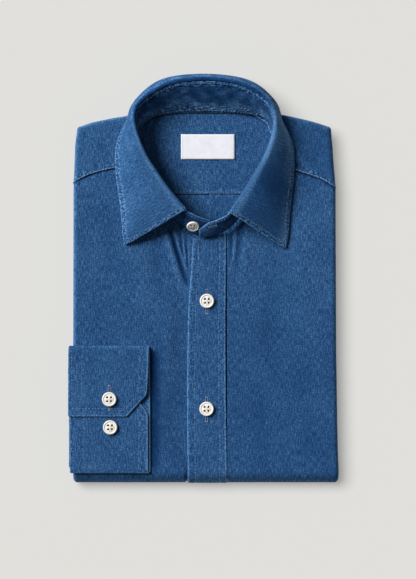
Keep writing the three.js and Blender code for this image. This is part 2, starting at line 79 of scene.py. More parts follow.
# Outer yoke: x, front edge y, shoulder fold y
YOKE_EDGES = [
    (-115.1, 88, 137), (-106, 92.6, 140.3), (-96, 95.8, 142.4), (-86, 98.2, 144.4),
    (-75, 100.2, 146.1), (-66, 101, 147.9), (-63, 124, 148.5), (-57, 140, 149.6),
    (-46, 146.5, 151.4), (-30, 148.4, 153.4), (0, 149, 154.6), (30, 148.4, 153.4),
    (46, 146.5, 151.4), (57, 140, 149.6), (63, 124, 148.6), (66, 100.6, 148.2), (75, 99, 146.9),
    (85, 95.9, 144.7), (95, 92.5, 142.5), (105, 89.1, 139.8), (113.5, 83.5, 136.9),
]

# Upper edge of each front, along the yoke and then the collar: x, y
LEFT_FRONT_TOP = [row[:2] for row in YOKE_EDGES[:6]] + [
    (-60, 96.5), (-52, 84), (-42, 70), (-30, 56), (-19, 45.6), (-10, 39.8), (-2, 36.8), (8, 36.5),
    (17, 38),
]
RIGHT_FRONT_TOP = [
    (19.4, 43.9), (26, 50.2), (34, 58.6), (43, 70.6), (52, 84), (60, 96.5),
] + [row[:2] for row in YOKE_EDGES[-6:]]

# Front placket: y, left x, right x; its top follows the seam of the stand: share of the width, y
PLACKET_TOP = [(0, 35.5), (0.25, 36.2), (0.5, 37.2), (0.75, 40.4), (1, 44)]
PLACKET_EDGES = [
    (-173.2, -15.8, 19.9), (-140, -16.4, 19.4), (-100, -16.6, 18.9), (-55, -16.0, 18.6),
    (-28, -15.3, 18.6), (-10, -14.2, 18.8), (7, -12.9, 19.1), (25, -11.8, 19.1), (44, -11.2, 19.1),
]
PLACKET_LIFT = 0.6

# Collar stations from the button end round the back: seam with the body, join with the leaf
STAND_STATIONS = [
    ((5, 38.2, 23.4), (4.5, 51.6, 34.6)), ((-4, 38.4, 23.6), (-3.4, 54, 37.4)),
    ((-12, 41, 23.8), (-10.2, 56.8, 39.4)), ((-21, 47.2, 23.8), (-17.2, 60.4, 40.4)),
    ((-32, 57.2, 23.8), (-26.4, 70.8, 41)), ((-44, 71.6, 23.8), (-35.4, 81.8, 41.4)),
    ((-54, 85.8, 23.8), (-45.4, 96.2, 41.4)), ((-61.6, 98.4, 23.8), (-52.4, 106.8, 41.4)),
    ((-65.4, 112, 23.8), (-58.4, 119.6, 41)), ((-64.4, 127, 22.6), (-62.6, 133, 40.2)),
    ((-57.4, 141, 19.4), (-63.2, 147.6, 39.2)), ((-45.4, 147.9, 17.2), (-54.6, 160.6, 38.4)),
    ((-26, 150.3, 16.7), (-30.6, 173.6, 37.6)), ((0, 150.9, 16.7), (0, 177.2, 37.4)),
    ((26, 150.3, 16.7), (30.6, 173.4, 37.6)), ((46, 147.8, 17.2), (52.8, 161.4, 38.4)),
    ((57.4, 141, 19.4), (61.4, 147.6, 39.2)), ((64, 127, 22.6), (61.8, 133, 40.2)),
    ((65.4, 112, 23.8), (58.4, 119.6, 41)), ((61.6, 98.4, 23.8), (53, 106.8, 41.4)),
    ((54, 85.8, 23.8), (46.6, 96, 41.4)), ((45, 71.6, 23.9), (38.4, 82, 41.4)),
    ((34, 57.4, 24.4), (29.4, 68.6, 41.2)), ((22.6, 45.2, 25.6), (21.6, 57.6, 40.6)),
    ((12, 39.4, 26.2), (11.6, 52.2, 39.4)), ((3, 37, 26.4), (3, 49.4, 37.6)),
    ((-5.2, 36.6, 26.2), (-6.2, 43.6, 31.8)),
]
STAND_BOW = 1.2

# Collar leaf, on the stand stations from the left point to the right point
# Underface halfway down the fall, and underface at the outer edge
LEAF_STATIONS = [
    ((-41, 47.4, 34.6), (-72.4, 30.2, 22.9)), ((-45.6, 58.8, 36.8), (-73.9, 41.5, 22.9)),
    ((-50.4, 72.4, 38.2), (-75.2, 57, 22.9)), ((-56.4, 87.2, 39), (-77.1, 74, 22.9)),
    ((-62, 100.2, 39), (-79.3, 91, 22.9)), ((-66, 114.8, 38.2), (-80.2, 108, 23)),
    ((-68.2, 129.6, 36.6), (-78.8, 121.6, 23.2)), ((-66.6, 145, 33.6), (-70.2, 142.2, 23.2)),
    ((-60.2, 160.8, 31), (-62.8, 154.4, 13.5)), ((-37.6, 177.8, 27.5), (-34, 166.6, 5)),
    ((0, 182.2, 26.5), (0, 169, 4)), ((37.4, 177.2, 27.5), (34, 166.6, 5)),
    ((59, 161.2, 31), (61.8, 154.4, 13.5)), ((64.2, 145, 33.6), (68.6, 142.2, 23.2)),
    ((67.6, 129.6, 36.6), (77.2, 121.6, 23.2)), ((66, 114.8, 38.2), (79.2, 108, 23)),
    ((62.4, 100.2, 39), (78.6, 91, 22.9)), ((57.8, 86.8, 39), (77, 74, 22.9)),
    ((52.8, 71.6, 38.2), (75.4, 57, 22.9)), ((48.2, 57.2, 36.8), (74.2, 40, 22.9)),
    ((44, 44.4, 34.8), (72.2, 27.2, 22.9)),
]
LEAF_FIRST_STATION = 3
ROLL_RISE = 5.0

# Cuff strip round its flattened loop: y, height of the outer face, left edge x, right edge x
CUFF_CLOTH = 1.4
CUFF_PATH = [
    (-124.4, 27.4, -123.4, -70.6), (-104.4, 27.4, -123.5, -52.4), (-84, 27.2, -123.4, -51.2),
    (-64, 27, -123.2, -50.6), (-62.4, 26.7, -123.1, -50.6), (-61.2, 26.1, -122.9, -50.6),
    (-60.5, 25.3, -122.7, -50.6), (-60.3, 24.7, -122.6, -50.6), (-60.5, 24, -122.4, -50.4),
    (-61.2, 23.1, -122.2, -50.2), (-62.4, 22.6, -122, -50.2), (-64, 22.4, -121.8, -50),
    (-110, 22.4, -121.6, -49.4), (-173.6, 22.4, -121.6, -49.2), (-174.6, 22.6, -121.7, -49.4),
    (-175.4, 23.2, -121.7, -49.9), (-175.7, 24.1, -121.8, -50.6), (-175.4, 24.9, -121.9, -51.1),
    (-174.6, 25.5, -122, -51.3), (-173.6, 25.7, -122, -51.4), (-121.9, 25.7, -122, -51.4),
    (-112.4, 25.7, -122, -58.2),
]

# Sleeve from the cuff round the left side into the stack: x, z of the outer face
SLEEVE_ENDS = (-170, -62)
SLEEVE_CLOTH = 1.4
SLEEVE_PATH = [
    (-121.6, 21.9), (-122.7, 20.6), (-123.3, 18), (-123.4, 15), (-122.6, 12), (-120.6, 10.5),
    (-116, 10.1), (-111, 10.1),
]

# Inside the neck
INNER_YOKE_BOTTOM = 76
INNER_YOKE_EDGES = [
    (-64, 124), (-61, 132), (-56, 137.6), (-49, 142.6), (-42, 146), (-30, 148.1), (0, 148.7),
    (30, 148.1), (42, 146), (49, 142.6), (56, 137.6), (61, 132), (64, 124),
]
BACK_BOTTOM = 52
BACK_HALF_WIDTH = 50
PLEAT_X = 2.4
PLEAT_RISE = 0.8
LABEL_WIDTH = 48.2
LABEL_LENGTH = 22.5
LABEL_PLACE = (2.2, 118.6)

# Buttons: outer radius, height, height of the dish, radius of the rim, holes and their place
BUTTON_RADIUS = 6.5
BUTTON_HEIGHT = 2.6
BUTTON_DISH = 2.2
BUTTON_RIM = 5.1
BUTTON_HOLE = 0.9
BUTTON_SPREAD = 1.7

# Name, place of the back, tilt about X in degrees, share of the full size
BUTTONS = [
    ("collar_button", (-11.1, 47.2, 32.7), 45, 0.86),
    ("front_button_upper", (1.5, -20.4, 22.9), 0, 1),
    ("front_button_lower", (1.2, -117.5, 22.9), 0, 1),
    ("cuff_button_upper", (-86.3, -108.7, 27.7), 0, 1),
    ("cuff_button_lower", (-85.5, -134.0, 26.0), 0, 1),
]

# Where the shirt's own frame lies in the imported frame
label_low, label_high = (Vector(corner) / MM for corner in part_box("label"))
SHIFT_X = (label_low.x + label_high.x) / 2 - LABEL_PLACE[0]
SHIFT_Y = (label_low.y + label_high.y) / 2 - LABEL_PLACE[1]


def metres(point):
    return Vector(((point[0] + SHIFT_X) * MM, (point[1] + SHIFT_Y) * MM, point[2] * MM))


def lerp(low, high, share):
    return low + (high - low) * share


def smooth(value):
    value = min(max(value, 0.0), 1.0)
    return value * value * (3 - 2 * value)


def lookup(table, key, column):
    """Reads a column of a table whose first column rises, between its rows."""
    row = bisect.bisect_right([line[0] for line in table], key)
    if row == 0:
        return table[0][column]
    if row == len(table):
        return table[-1][column]
    low, high = table[row - 1], table[row]
    return lerp(low[column], high[column], (key - low[0]) / (high[0] - low[0]))


def left_side(y):
    return lookup(SIDE_EDGES, y, 1)


def right_side(y):
    return lookup(SIDE_EDGES, y, 2)


def through(points, share):
    """A point on the smooth curve through evenly counted points."""
    spot = min(max(share, 0.0), 1.0) * (len(points) - 1)
    first = min(int(spot), len(points) - 2)
    t = spot - first
    b, c = Vector(points[first]), Vector(points[first + 1])
    a = Vector(points[first - 1]) if first > 0 else b * 2 - c
    d = Vector(points[first + 2]) if first + 2 < len(points) else c * 2 - b
    return 0.5 * (2 * b + (c - a) * t + (2 * a - 5 * b + 4 * c - d) * t ** 2
                  + (3 * b - a - 3 * c + d) * t ** 3)


# Camera, straight above
camera_data = bpy.data.cameras.new("overhead")
camera_data.sensor_fit = "VERTICAL"
camera_data.sensor_height = SENSOR_HEIGHT
view_height = PHOTO_HEIGHT * MM_PER_PIXEL * MM
camera_data.lens = SENSOR_HEIGHT * (CAMERA_HEIGHT - STACK_HEIGHT * MM) / view_height
camera = bpy.data.objects.new("overhead", camera_data)
bpy.context.scene.collection.objects.link(camera)
camera.location = metres((*PHOTO_MIDDLE, CAMERA_HEIGHT / MM))
bpy.context.scene.camera = camera


# Creases on the fronts and on the yoke: points, half width, height
FRONT_CREASES = [
    ([(-37.5, 47), (-34, 36), (-30.6, 25), (-27.4, 14), (-24, 3), (-21, -8)], 3.4, 1.35),
    ([(-32.7, 45), (-29.1, 36), (-25.6, 25.5), (-22.2, 14.7), (-18.8, 3.9), (-16, -6)], 1.9, -1.6),
    ([(-27.6, 43), (-25.2, 33), (-22.6, 23), (-19.8, 12), (-17.2, 3)], 1.5, 1.1),
    ([(-22.8, 41), (-21.4, 30), (-19.6, 19)], 0.9, -0.8),
    ([(-20.2, 40), (-18.9, 27), (-17.6, 12), (-16.6, 4)], 0.9, 0.8),
    ([(-17.6, 38), (-16.7, 24), (-15.8, 9)], 0.8, -0.75),
    ([(-14.4, 37), (-14.2, 26), (-14.6, 12)], 0.8, 0.55),
    ([(-42, 54), (-45, 42), (-51, 33)], 3.0, 0.5),
    ([(-46, 36), (-41, 10), (-38, -22)], 6, -0.55),
    ([(-62, 30), (-56, -5), (-55, -40)], 8, 0.5),
    ([(-90, 60), (-85, 10), (-88, -30)], 11, -0.5),
    ([(-30, -30), (-32, -66), (-27, -96)], 7, 0.4),
    ([(-40, -70), (-34, -110), (-38, -150)], 9, -0.5),
    ([(23.2, 44), (23.4, 31), (22.2, 15)], 1.1, -0.6),
    ([(27.2, 46), (26.8, 31), (24.8, 12)], 1.7, 0.75),
    ([(31.8, 50), (30.2, 30), (27.6, 6)], 2.2, -0.5),
    ([(38, 55), (36, 24), (33, -8)], 4.5, 0.5),
    ([(62, 20), (58, -30), (60, -76)], 9, -0.5),
    ([(92, 60), (88, 5), (95, -50)], 12, 0.55),
    ([(40, -90), (52, -128), (50, -165)], 9, -0.5),
    ([(84, -92), (96, -130), (92, -160)], 10, -0.45),
]
YOKE_CREASES = [
    ([(-96, 122), (-89, 111), (-83, 101.5)], 2.4, -0.7),
    ([(-90, 124), (-84, 112), (-80, 103)], 2.0, 0.5),
    ([(-104, 112), (-97, 104), (-92, 99)], 2.2, -0.4),
    ([(-108, 136), (-98, 126), (-90, 118)], 3.5, 0.4),
    ([(84, 112), (90, 104), (96, 95)], 2.0, 0.6),
    ([(82, 105), (86, 100.5), (91, 96)], 1.5, -0.5),
    ([(98, 120), (104, 106), (107, 92)], 3.0, -0.4),
]
CREASE_ENDS = (0.04, 0.96)
CREASE_TAPER = 0.6
RIDGE_FADE = 0.5
TROUGH_PAINTED_SHADE = 0.95
FADED_WIDTH = 1.6


def peak(distance, half_width):
    return math.exp(-(distance / half_width) ** 2)


def band(distance, line):
    """Strength of a soft line at a distance; a line is its strength, middle and half width."""
    strength, middle, half_width = line
    return strength * peak(distance - middle, half_width)


def within(value, low, high, low_ease, high_ease):
    """1 between two limits, easing to 0 at each of them."""
    return smooth((value - low) / low_ease) * smooth((high - value) / high_ease)


def near_line(x, y, points):
    """Distance to a line of points, and the share of the line where the nearest point lies."""
    best, share = 1e9, 0.0
    for index, ((ax, ay), (bx, by)) in enumerate(zip(points, points[1:])):
        dx, dy = bx - ax, by - ay
        t = min(max(((x - ax) * dx + (y - ay) * dy) / (dx * dx + dy * dy), 0), 1)
        distance = math.hypot(x - ax - dx * t, y - ay - dy * t)
        if distance < best:
            best, share = distance, (index + t) / (len(points) - 1)
    return best, share


def creases(x, y, lines):
    """Height of the cloth over its creases, and how its tone changes there: ridges faded paler by
    wear, troughs darkened as painted shade.
    """
    height = fade_and_shade = 0.0
    for points, width, lift in lines:
        distance, share = near_line(x, y, points)
        if distance < 3 * width:
            taper = math.sin(math.pi * lerp(*CREASE_ENDS, share)) ** CREASE_TAPER
            rise = lift * taper * peak(distance, width)
            height += rise
            # Ridges fade paler from wear; troughs are darkened as painted shade
            fade_and_shade += rise * min(1, FADED_WIDTH / width) * (RIDGE_FADE if lift > 0 else TROUGH_PAINTED_SHADE)
    return height, fade_and_shade


def waves(x, y, size, seed):
    """Soft swells of one size, from about -1 to 1."""
    return noise.noise(Vector((x / size, y / size, seed)))


# Stitched rows: how softly the drawn-in strip ends, its puckers, and the groove of the row
HEM_EASE = 1.8
PUCKER_SIZE = 3.4
PUCKER_HEIGHT = 0.3
PUCKER_STRETCH = 0.6
ROW_GROOVE = (0.3, 0, 0.9)


def hem(distance, row):
    """How much the cloth is drawn in between an edge and the stitched row at a distance from it."""
    return smooth((row + HEM_EASE - distance) / HEM_EASE)


def pucker(distance, along, row, seed):
    """Height of the cloth drawn in along a stitched row."""
    swell = PUCKER_HEIGHT * waves(along, distance * PUCKER_STRETCH, PUCKER_SIZE, seed)
    return swell * hem(distance, row) - band(distance - row, ROW_GROOVE)


# The stack is pressed thinner behind the neck: how far to the sides, from which y, how softly
SQUASH_REACH = 74
SQUASH_FROM = 118
SQUASH_EASE = 22


def squash(x, y):
    """Share of the height that is lost behind the neck."""
    sideways = smooth((SQUASH_REACH - abs(x)) / SQUASH_EASE)
    return BACK_SQUASH * sideways * smooth((y - SQUASH_FROM) / SQUASH_EASE)


# The strip that sags under the placket: half width and easing at the bottom fold and above it
SAG_MIDDLE = 2
SAG_AT_FOLD = (20.8, 2.4)
SAG_ABOVE = (38, 16)
SAG_WIDENS_OVER = 16


def placket_sag(x, above_fold):
    """How much lower the cloth under the placket lies."""
    share = smooth(above_fold / SAG_WIDENS_OVER)
    half_width, ease = (lerp(low, high, share) for low, high in zip(SAG_AT_FOLD, SAG_ABOVE))
    return PLACKET_SAG * smooth((half_width - abs(x - SAG_MIDDLE)) / ease)


def place(x, y, side, top, bottom, lift):
    """Puts a panel point on the stack; turned edges run round the side, top or bottom fold."""
    angle = math.radians(max(abs(side), top))
    spread = math.hypot(side, top) or 1
    out = (FOLD_REACH + lift) * math.sin(angle)
    depth = FOLD_DROP - (FOLD_DROP + lift) * math.cos(angle)
    radius = STACK_HEIGHT / 2 - depth
    turn = math.radians(bottom)
    px = x + out * side / spread
    py = y + out * top / spread - radius * math.sin(turn)
    pz = STACK_HEIGHT / 2 + radius * math.cos(turn)
    return Vector((px, py, pz * (1 - squash(px, py))))


SIDE_ARC = FOLD_MEAN * math.radians(FOLD_END)
BOTTOM_ARC = STACK_HEIGHT / 2 * math.radians(BOTTOM_FOLD_END)
BOTTOM_WEAR = (0.6, BOTTOM_ARC / 1.72, 3.0)


def round_bottom(along, low):
    """The y of a panel point, and its turn round the bottom fold, under which the panel starts."""
    turn = math.degrees(max(BOTTOM_ARC - along, 0) / (STACK_HEIGHT / 2))
    return low + max(along - BOTTOM_ARC, 0), turn


# Every surface takes two shares, s across and t along its panel, and gives the point in
# millimetres, the place on the flat cloth, its wear with painted light and shade, and how drawn in
# it is there
FRONT_CROWDING = 1.25
SEAM_FALL = 3.2
SEAM_FALL_OVER = 6
SEAM_FROM = 66
SEAM_DIP = (0.8, 0, 1.5)
SEAM_PAINTED_SHADOW = (1.2, 0, 1.3)
SIDE_WEAR = (0.5, 4.6, 2.4)
SIDE_FADE = 0.08
LOWER_PAINTED_SHADE = 0.1
# Painted shadow beside the cuff: its strength, and its x and y limits with their easing
CUFF_PAINTED_SHADOW = 0.75
CUFF_SIDE_X = (-60, -38, 5, 9)
CUFF_SIDE_Y = (-173, -63, 6, 6)


def has_seam(x):
    """The seam between a front and the yoke runs outside the collar."""
    return abs(x) > SEAM_FROM


def front_surface(table, sign, edge, under_placket):
    centre, side = (table[-1][0], table[0][0]) if sign < 0 else (table[0][0], table[-1][0])
    width = abs(side - centre)
    low = BOTTOM_LINE + STACK_HEIGHT / 2

    def surface(s, t):
        across = s ** FRONT_CROWDING * (width + SIDE_ARC)
        x = centre + sign * min(across, width)
        side_turn = sign * math.degrees(max(across - width, 0) / FOLD_MEAN)
        high = lookup(table, x, 1) - SEAM_FALL * smooth((across - width) / SEAM_FALL_OVER)
        along = t * (BOTTOM_ARC + high - low)
        y, bottom_turn = round_bottom(along, low)
        seam = high - y
        calm = smooth((width + 4 - across) / 14) * smooth((along - BOTTOM_ARC + 4) / 16)
        lift, fade_and_shade = creases(x, y, FRONT_CREASES)
        lift += 0.35 * waves(x, y, 46, 2.0) * calm + 0.07 * waves(x, y, 9, 5.0)
        if has_seam(x):
            lift -= band(seam, SEAM_DIP) * calm
        if under_placket:
            lift -= placket_sag(x, y - low)
        x *= edge(y) / edge(SIDE_REFERENCE)
        wear_light_and_shade = band(across - width, SIDE_WEAR) + SIDE_FADE * max(across - width, 0) / SIDE_ARC
        # Painted shade: the fronts darken towards the bottom
        wear_light_and_shade = max(wear_light_and_shade, band(along, BOTTOM_WEAR)) + fade_and_shade - LOWER_PAINTED_SHADE * smooth((10 - y) / 90)
        # Painted shadow of the cuff on the front beside its right edge
        wear_light_and_shade -= CUFF_PAINTED_SHADOW * within(x, *CUFF_SIDE_X) * within(y, *CUFF_SIDE_Y)
        drawn = smooth((8 - seam) / 6)
        if has_seam(x):
            # Painted shadow: a dark line on the front just under the lapped yoke edge
            wear_light_and_shade -= band(seam, SEAM_PAINTED_SHADOW)
            drawn = 0.7 * smooth((7 - seam) / 5)
        spot = place(x, y, side_turn, 0, bottom_turn, lift)
        return spot, (across * sign, along - BOTTOM_ARC + low), (wear_light_and_shade, drawn)

    return surface


PLACKET_ROW = 6.8
PLACKET_STREAK = 0.5
PLACKET_CROWDS_FROM = 25
PLACKET_LEFT_WEAR = (1.1, 0.4, 0.8)
PLACKET_RIGHT_WEAR = (0.9, 1.2, 0.7)
HOLE_LENGTH = 22.0
FRONT_HOLES = [(1.5, -20.9), (1.2, -118.0)]
CUFF_HOLE = (-86.3, -107.4)
SLIT_PAINTED_SHADE = (1.5, 0, 0.7)


def slit(x, y, hole):
    """Painted shade in the slit of a buttonhole: how much darker the cloth is there."""
    return band(x - hole[0], SLIT_PAINTED_SHADE) * smooth(HOLE_LENGTH / 2 + 0.5 - abs(y - hole[1]))


def placket_surface(s, t):
    low, high = PLACKET_EDGES[0][0], PLACKET_EDGES[-1][0]
    along = t * (BOTTOM_ARC + high - low)
    y, bottom_turn = round_bottom(along, low)
    left, right = lookup(PLACKET_EDGES, y, 1), lookup(PLACKET_EDGES, y, 2)
    x = lerp(left, right, s)
    crowd = smooth((y - PLACKET_CROWDS_FROM) / (high - PLACKET_CROWDS_FROM))
    y -= crowd * (high - lookup(PLACKET_TOP, s, 1))
    in_left, in_right = x - left, right - x
    streak = PLACKET_STREAK * waves(x, y * 0.1, 2.3, 6.0) * smooth((y - 4) / 26)
    lift = PLACKET_LIFT + pucker(in_left, along, PLACKET_ROW, 1.0)
    lift += pucker(in_right, along, PLACKET_ROW, 3.0)
    lift += 0.18 * waves(x * 0.4, y, 13, 4.0) + streak - 0.35 * math.exp(-in_right / 0.8)
    wear_light_and_shade = max(band(in_left, PLACKET_LEFT_WEAR), band(in_right, PLACKET_RIGHT_WEAR))
    # The streaks are paler on their ridges from wear and darker between them as painted shade
    wear_light_and_shade = max(wear_light_and_shade, band(along, BOTTOM_WEAR)) + 0.7 * streak
    # Painted shade in the slits of the front buttonholes
    wear_light_and_shade -= sum(slit(x, y, hole) for hole in FRONT_HOLES)
    drawn = max(hem(in_left, PLACKET_ROW), hem(in_right, PLACKET_ROW)) * 0.45
    return place(x, y, 0, 0, bottom_turn, lift), (x, along - BOTTOM_ARC + low), (wear_light_and_shade, drawn)


YOKE_ROW = 3.4
YOKE_EDGE_RISE = (0.55, 0.9, 1.3)
YOKE_EDGE_WEAR = (1.2, 0.4, 0.8)
YOKE_FOLD_WEAR = (0.5, 62, 34)
RIGHT_SHOULDER_PAINTED_SHADE = 0.16


def yoke_surface(s, t):
    first, last = YOKE_EDGES[0][0], YOKE_EDGES[-1][0]
    across = s * (last - first + 2 * SIDE_ARC) - SIDE_ARC
    x = min(max(first + across, first), last)
    beyond = first + across - x
    side_turn = math.degrees(beyond / FOLD_MEAN)
    front = lookup(YOKE_EDGES, x, 1) + GAP - SEAM_FALL * smooth(abs(beyond) / SEAM_FALL_OVER)
    fold = lookup(YOKE_EDGES, x, 2) - FOLD_REACH
    along = t * (fold - front + SIDE_ARC)
    y = front + min(along, fold - front)
    top_turn = math.degrees(max(along - fold + front, 0) / FOLD_MEAN)
    calm = smooth((fold - y) / 8) * smooth((SIDE_ARC - abs(beyond)) / 8)
    rise, fade_and_shade = creases(x, y, YOKE_CREASES)
    lift = (0.4 * waves(x, y, 24, 11.0) + rise) * calm + 0.06 * waves(x, y, 8, 12.0)
    if has_seam(x):
        lift += band(along, YOKE_EDGE_RISE)
    wear_light_and_shade = band(max(abs(side_turn), top_turn), YOKE_FOLD_WEAR) + fade_and_shade
    # Painted shade: the yoke darkens towards the right shoulder, beside the collar
    wear_light_and_shade = max(wear_light_and_shade, band(along, YOKE_EDGE_WEAR)) - RIGHT_SHOULDER_PAINTED_SHADE * smooth((x - 60) / 12)
    edge = left_side if x < 0 else right_side
    x *= edge(y) / edge(SIDE_REFERENCE)
    spot = place(x, y, side_turn, top_turn, 0, lift)
    return spot, (x + beyond, front + along), (wear_light_and_shade, hem(along, YOKE_ROW))


NECK_TOP = NECK_FLOOR + GAP + NECK_CLOTH
INNER_YOKE_ROW = 5.5
INNER_YOKE_RISE = (0.5, 1, 1.6)
INNER_YOKE_WEAR = (1.5, 0.5, 0.8)


def inner_yoke_surface(s, t):
    x = lerp(INNER_YOKE_EDGES[0][0], INNER_YOKE_EDGES[-1][0], s)
    y = lerp(INNER_YOKE_BOTTOM, lookup(INNER_YOKE_EDGES, x, 1), t)
    along = y - INNER_YOKE_BOTTOM
    lift = 0.12 * waves(x, y, 22, 21.0) + band(along, INNER_YOKE_RISE)
    looks = band(along, INNER_YOKE_WEAR), 0.4 * hem(along, INNER_YOKE_ROW)
    return Vector((x, y, NECK_TOP + lift)), (x, y), looks


BACK_HEM = 3.0
PLEAT_GROOVE = (0.5, 0, 0.6)
BACK_SEAM_DIP = (0.7, 0, 1.2)


def back_surface(s, t):
    x = lerp(-BACK_HALF_WIDTH, BACK_HALF_WIDTH, s)
    y = lerp(BACK_BOTTOM, INNER_YOKE_BOTTOM - GAP, t)
    past = x - PLEAT_X
    pleat = smooth(past + 0.5) * (1 - 0.5 * smooth(past / 12)) * smooth((28 - past) / 16)
    below = INNER_YOKE_BOTTOM - GAP - y
    lift = PLEAT_RISE * pleat + 0.12 * waves(x, y, 18, 31.0)
    lift -= band(past, PLEAT_GROOVE) + band(below, BACK_SEAM_DIP)
    return Vector((x, y, NECK_TOP + lift)), (x, y), (0.0, 0.3 * hem(below, BACK_HEM))


STAND_SEAMS, STAND_JOINS = zip(*STAND_STATIONS)
STAND_LENGTH = 420.0
STAND_SEAM_ROW = 6.0
STAND_JOIN_ROW = 5.0
STAND_TOP_WEAR = (0.9, 0.5, 0.8)
STAND_END_WEAR = (1.1, 0.5, 0.9)
STAND_FOOT_PAINTED_SHADE = (0.9, 0.5, 2.5)
STAND_LOWER_PART = (1, 10, 1.5, 4)
STAND_PAINTED_SHADE_STRETCH = (0.6, 0.8, 0.03, 0.05)


def stand_surface(s, t):
    """The neck band; it is puckered and mottled behind the neck, and smooth at its two ends.
    Painted light raises its tone behind the neck; painted shade darkens the foot of its right side,
    its upper part below the top edge, and its two front ends.
    """
    low, high = through(STAND_SEAMS, s), through(STAND_JOINS, s)
    spot = low.lerp(high, t)
    width = (high - low).length
    walked, end = s * STAND_LENGTH, min(s, 1 - s) * STAND_LENGTH
    from_seam, from_join = t * width, width - t * width
    rear = smooth((0.15 - abs(s - 0.5)) / 0.06)
    front = smooth((abs(s - 0.5) - 0.36) / 0.03)
    drawn = max(hem(from_seam, STAND_SEAM_ROW), hem(from_join, STAND_JOIN_ROW))
    lift = 0.3 * waves(walked, from_seam, 16, 41.0)
    lift += lerp(0.3, 0.6, rear) * drawn * waves(walked, from_seam * 0.3, 3.0, 42.0)
    spot.z += STAND_BOW * math.sin(math.pi * t)
    spot.z += lift * within(from_seam, 0.2, width - 0.4, 2, 1.5)
    wear_light_and_shade = max(front * band(from_join, STAND_TOP_WEAR), band(end, STAND_END_WEAR))
    mottle = 0.8 * waves(walked, from_seam * 0.5, 4.5, 43.0)
    # Painted light raises the tone behind the neck; a band on its lower part is paler still, and
    # the whole is mottled
    wear_light_and_shade += (0.12 + 0.25 * within(from_seam, *STAND_LOWER_PART) + mottle) * rear
    # Painted shade along the foot of the stand's right side
    wear_light_and_shade -= within(s, *STAND_PAINTED_SHADE_STRETCH) * band(from_seam, STAND_FOOT_PAINTED_SHADE)
    # Painted shade over the stand's upper part, below its top edge
    wear_light_and_shade -= 0.5 * smooth((from_join - 1) / 2) * smooth((from_seam - 9) / 4)
    # Painted shade on the two front ends of the stand
    wear_light_and_shade -= 0.12 * front * smooth((end - 2) / 3)
    return spot, (from_seam, walked), (wear_light_and_shade, lerp(0.4, 1.3, rear) * drawn)


HELD_STATIONS = STAND_STATIONS[LEAF_FIRST_STATION:LEAF_FIRST_STATION + len(LEAF_STATIONS)]
HELD_SEAMS, HELD_JOINS = zip(*HELD_STATIONS)
LEAF_CROWNS, LEAF_EDGES = zip(*LEAF_STATIONS)
LEAF_ROW = 6.2
LEAF_LENGTH = 470.0
LEAF_FALL = 0.93
LEAF_EDGE_WEAR = (1.6, 0.3, 0.9)
LEAF_ROW_WEAR = (0.4, LEAF_ROW, 0.8)
LEAF_ROLL_PAINTED_HIGHLIGHT = (0.35, 0.17, 0.06)
LEAF_BACK = (0.28, 0.66, 0.08, 0.08)


def leaf_curve(s):
    """Four control points of the leaf's fall, from its join with the stand to its outer edge."""
    foot, start = through(HELD_SEAMS, s), through(HELD_JOINS, s)
    rise = (start - foot).normalized()
    start = start + rise * GAP
    second = start + rise * ROLL_RISE
    last = through(LEAF_EDGES, s)
    third = (through(LEAF_CROWNS, s) * 8 - start - second * 3 - last) / 3
    return start, second, third, last


def on_curve(curve, t):
    a, b, c, d = curve
    return a * (1 - t) ** 3 + b * 3 * t * (1 - t) ** 2 + c * 3 * t * t * (1 - t) + d * t ** 3


def fall_length(curve):
    """Length of the fall, as a share of the length of the lines between its control points."""
    return sum((b - a).length for a, b in zip(curve, curve[1:])) * LEAF_FALL


# Shallow dents and swells of the leaf: along share, fall share, half widths, height
LEAF_DENTS = [
    (0.03, 0.62, 0.035, 0.16, -0.7), (0.10, 0.5, 0.05, 0.2, 0.6), (0.20, 0.6, 0.06, 0.2, -0.5),
    (0.30, 0.45, 0.04, 0.15, 0.5), (0.5, 0.5, 0.08, 0.2, -0.5), (0.70, 0.5, 0.05, 0.2, 0.5),
    (0.82, 0.62, 0.06, 0.18, -0.6), (0.91, 0.5, 0.04, 0.2, 0.6), (0.97, 0.66, 0.03, 0.16, -0.5),
]


def leaf_surface(s, t):
    """The folded leaf; a painted highlight runs along its roll, painted shade darkens the groove at
    its back and its right side below the crown, painted light brightens its right side near the
    outer edge and over its upper part, and its back is mottled.
    """
    curve = leaf_curve(s)
    spot = on_curve(curve, t)
    walked, fall = s * LEAF_LENGTH, fall_length(curve)
    to_edge = (1 - t) * fall
    to_point = min(s, 1 - s) * LEAF_LENGTH
    inward = min(to_edge, to_point)
    lift = pucker(inward, walked if to_edge < to_point else to_edge, LEAF_ROW, 51.0)
    lift += sum(height * peak(s - a, wide) * peak(t - b, high)
                for a, b, wide, high, height in LEAF_DENTS)
    spot.z += lift * smooth(to_edge / 3) * smooth(t * 5)
    wear_light_and_shade = band(inward, LEAF_EDGE_WEAR) + band(inward, LEAF_ROW_WEAR)
    # Painted highlight along the crest of the roll
    wear_light_and_shade = max(wear_light_and_shade, band(t, LEAF_ROLL_PAINTED_HIGHLIGHT))
    back = within(s, *LEAF_BACK)
    right = smooth((s - 0.6) / 0.08)
    right_painted_shade = smooth((s - 0.68) / 0.1) * (1 - 0.5 * smooth((s - 0.86) / 0.08))
    # Painted shade in the groove at the back and over the right side below the crown
    wear_light_and_shade -= 0.8 * back * smooth((0.22 - t) / 0.15) + 0.55 * right_painted_shade * smooth((t - 0.2) / 0.12)
    # Painted light on the right side, near its outer edge and over its upper part
    wear_light_and_shade += right * (0.75 * smooth((17 - to_edge) / 13) + 0.35 * smooth((0.86 - s) / 0.1))
    wear_light_and_shade += 0.5 * back * waves(walked, t * fall * 0.6, 5.0, 52.0)
    return spot, (walked, t * fall), (wear_light_and_shade, 1.25 * hem(inward, LEAF_ROW))


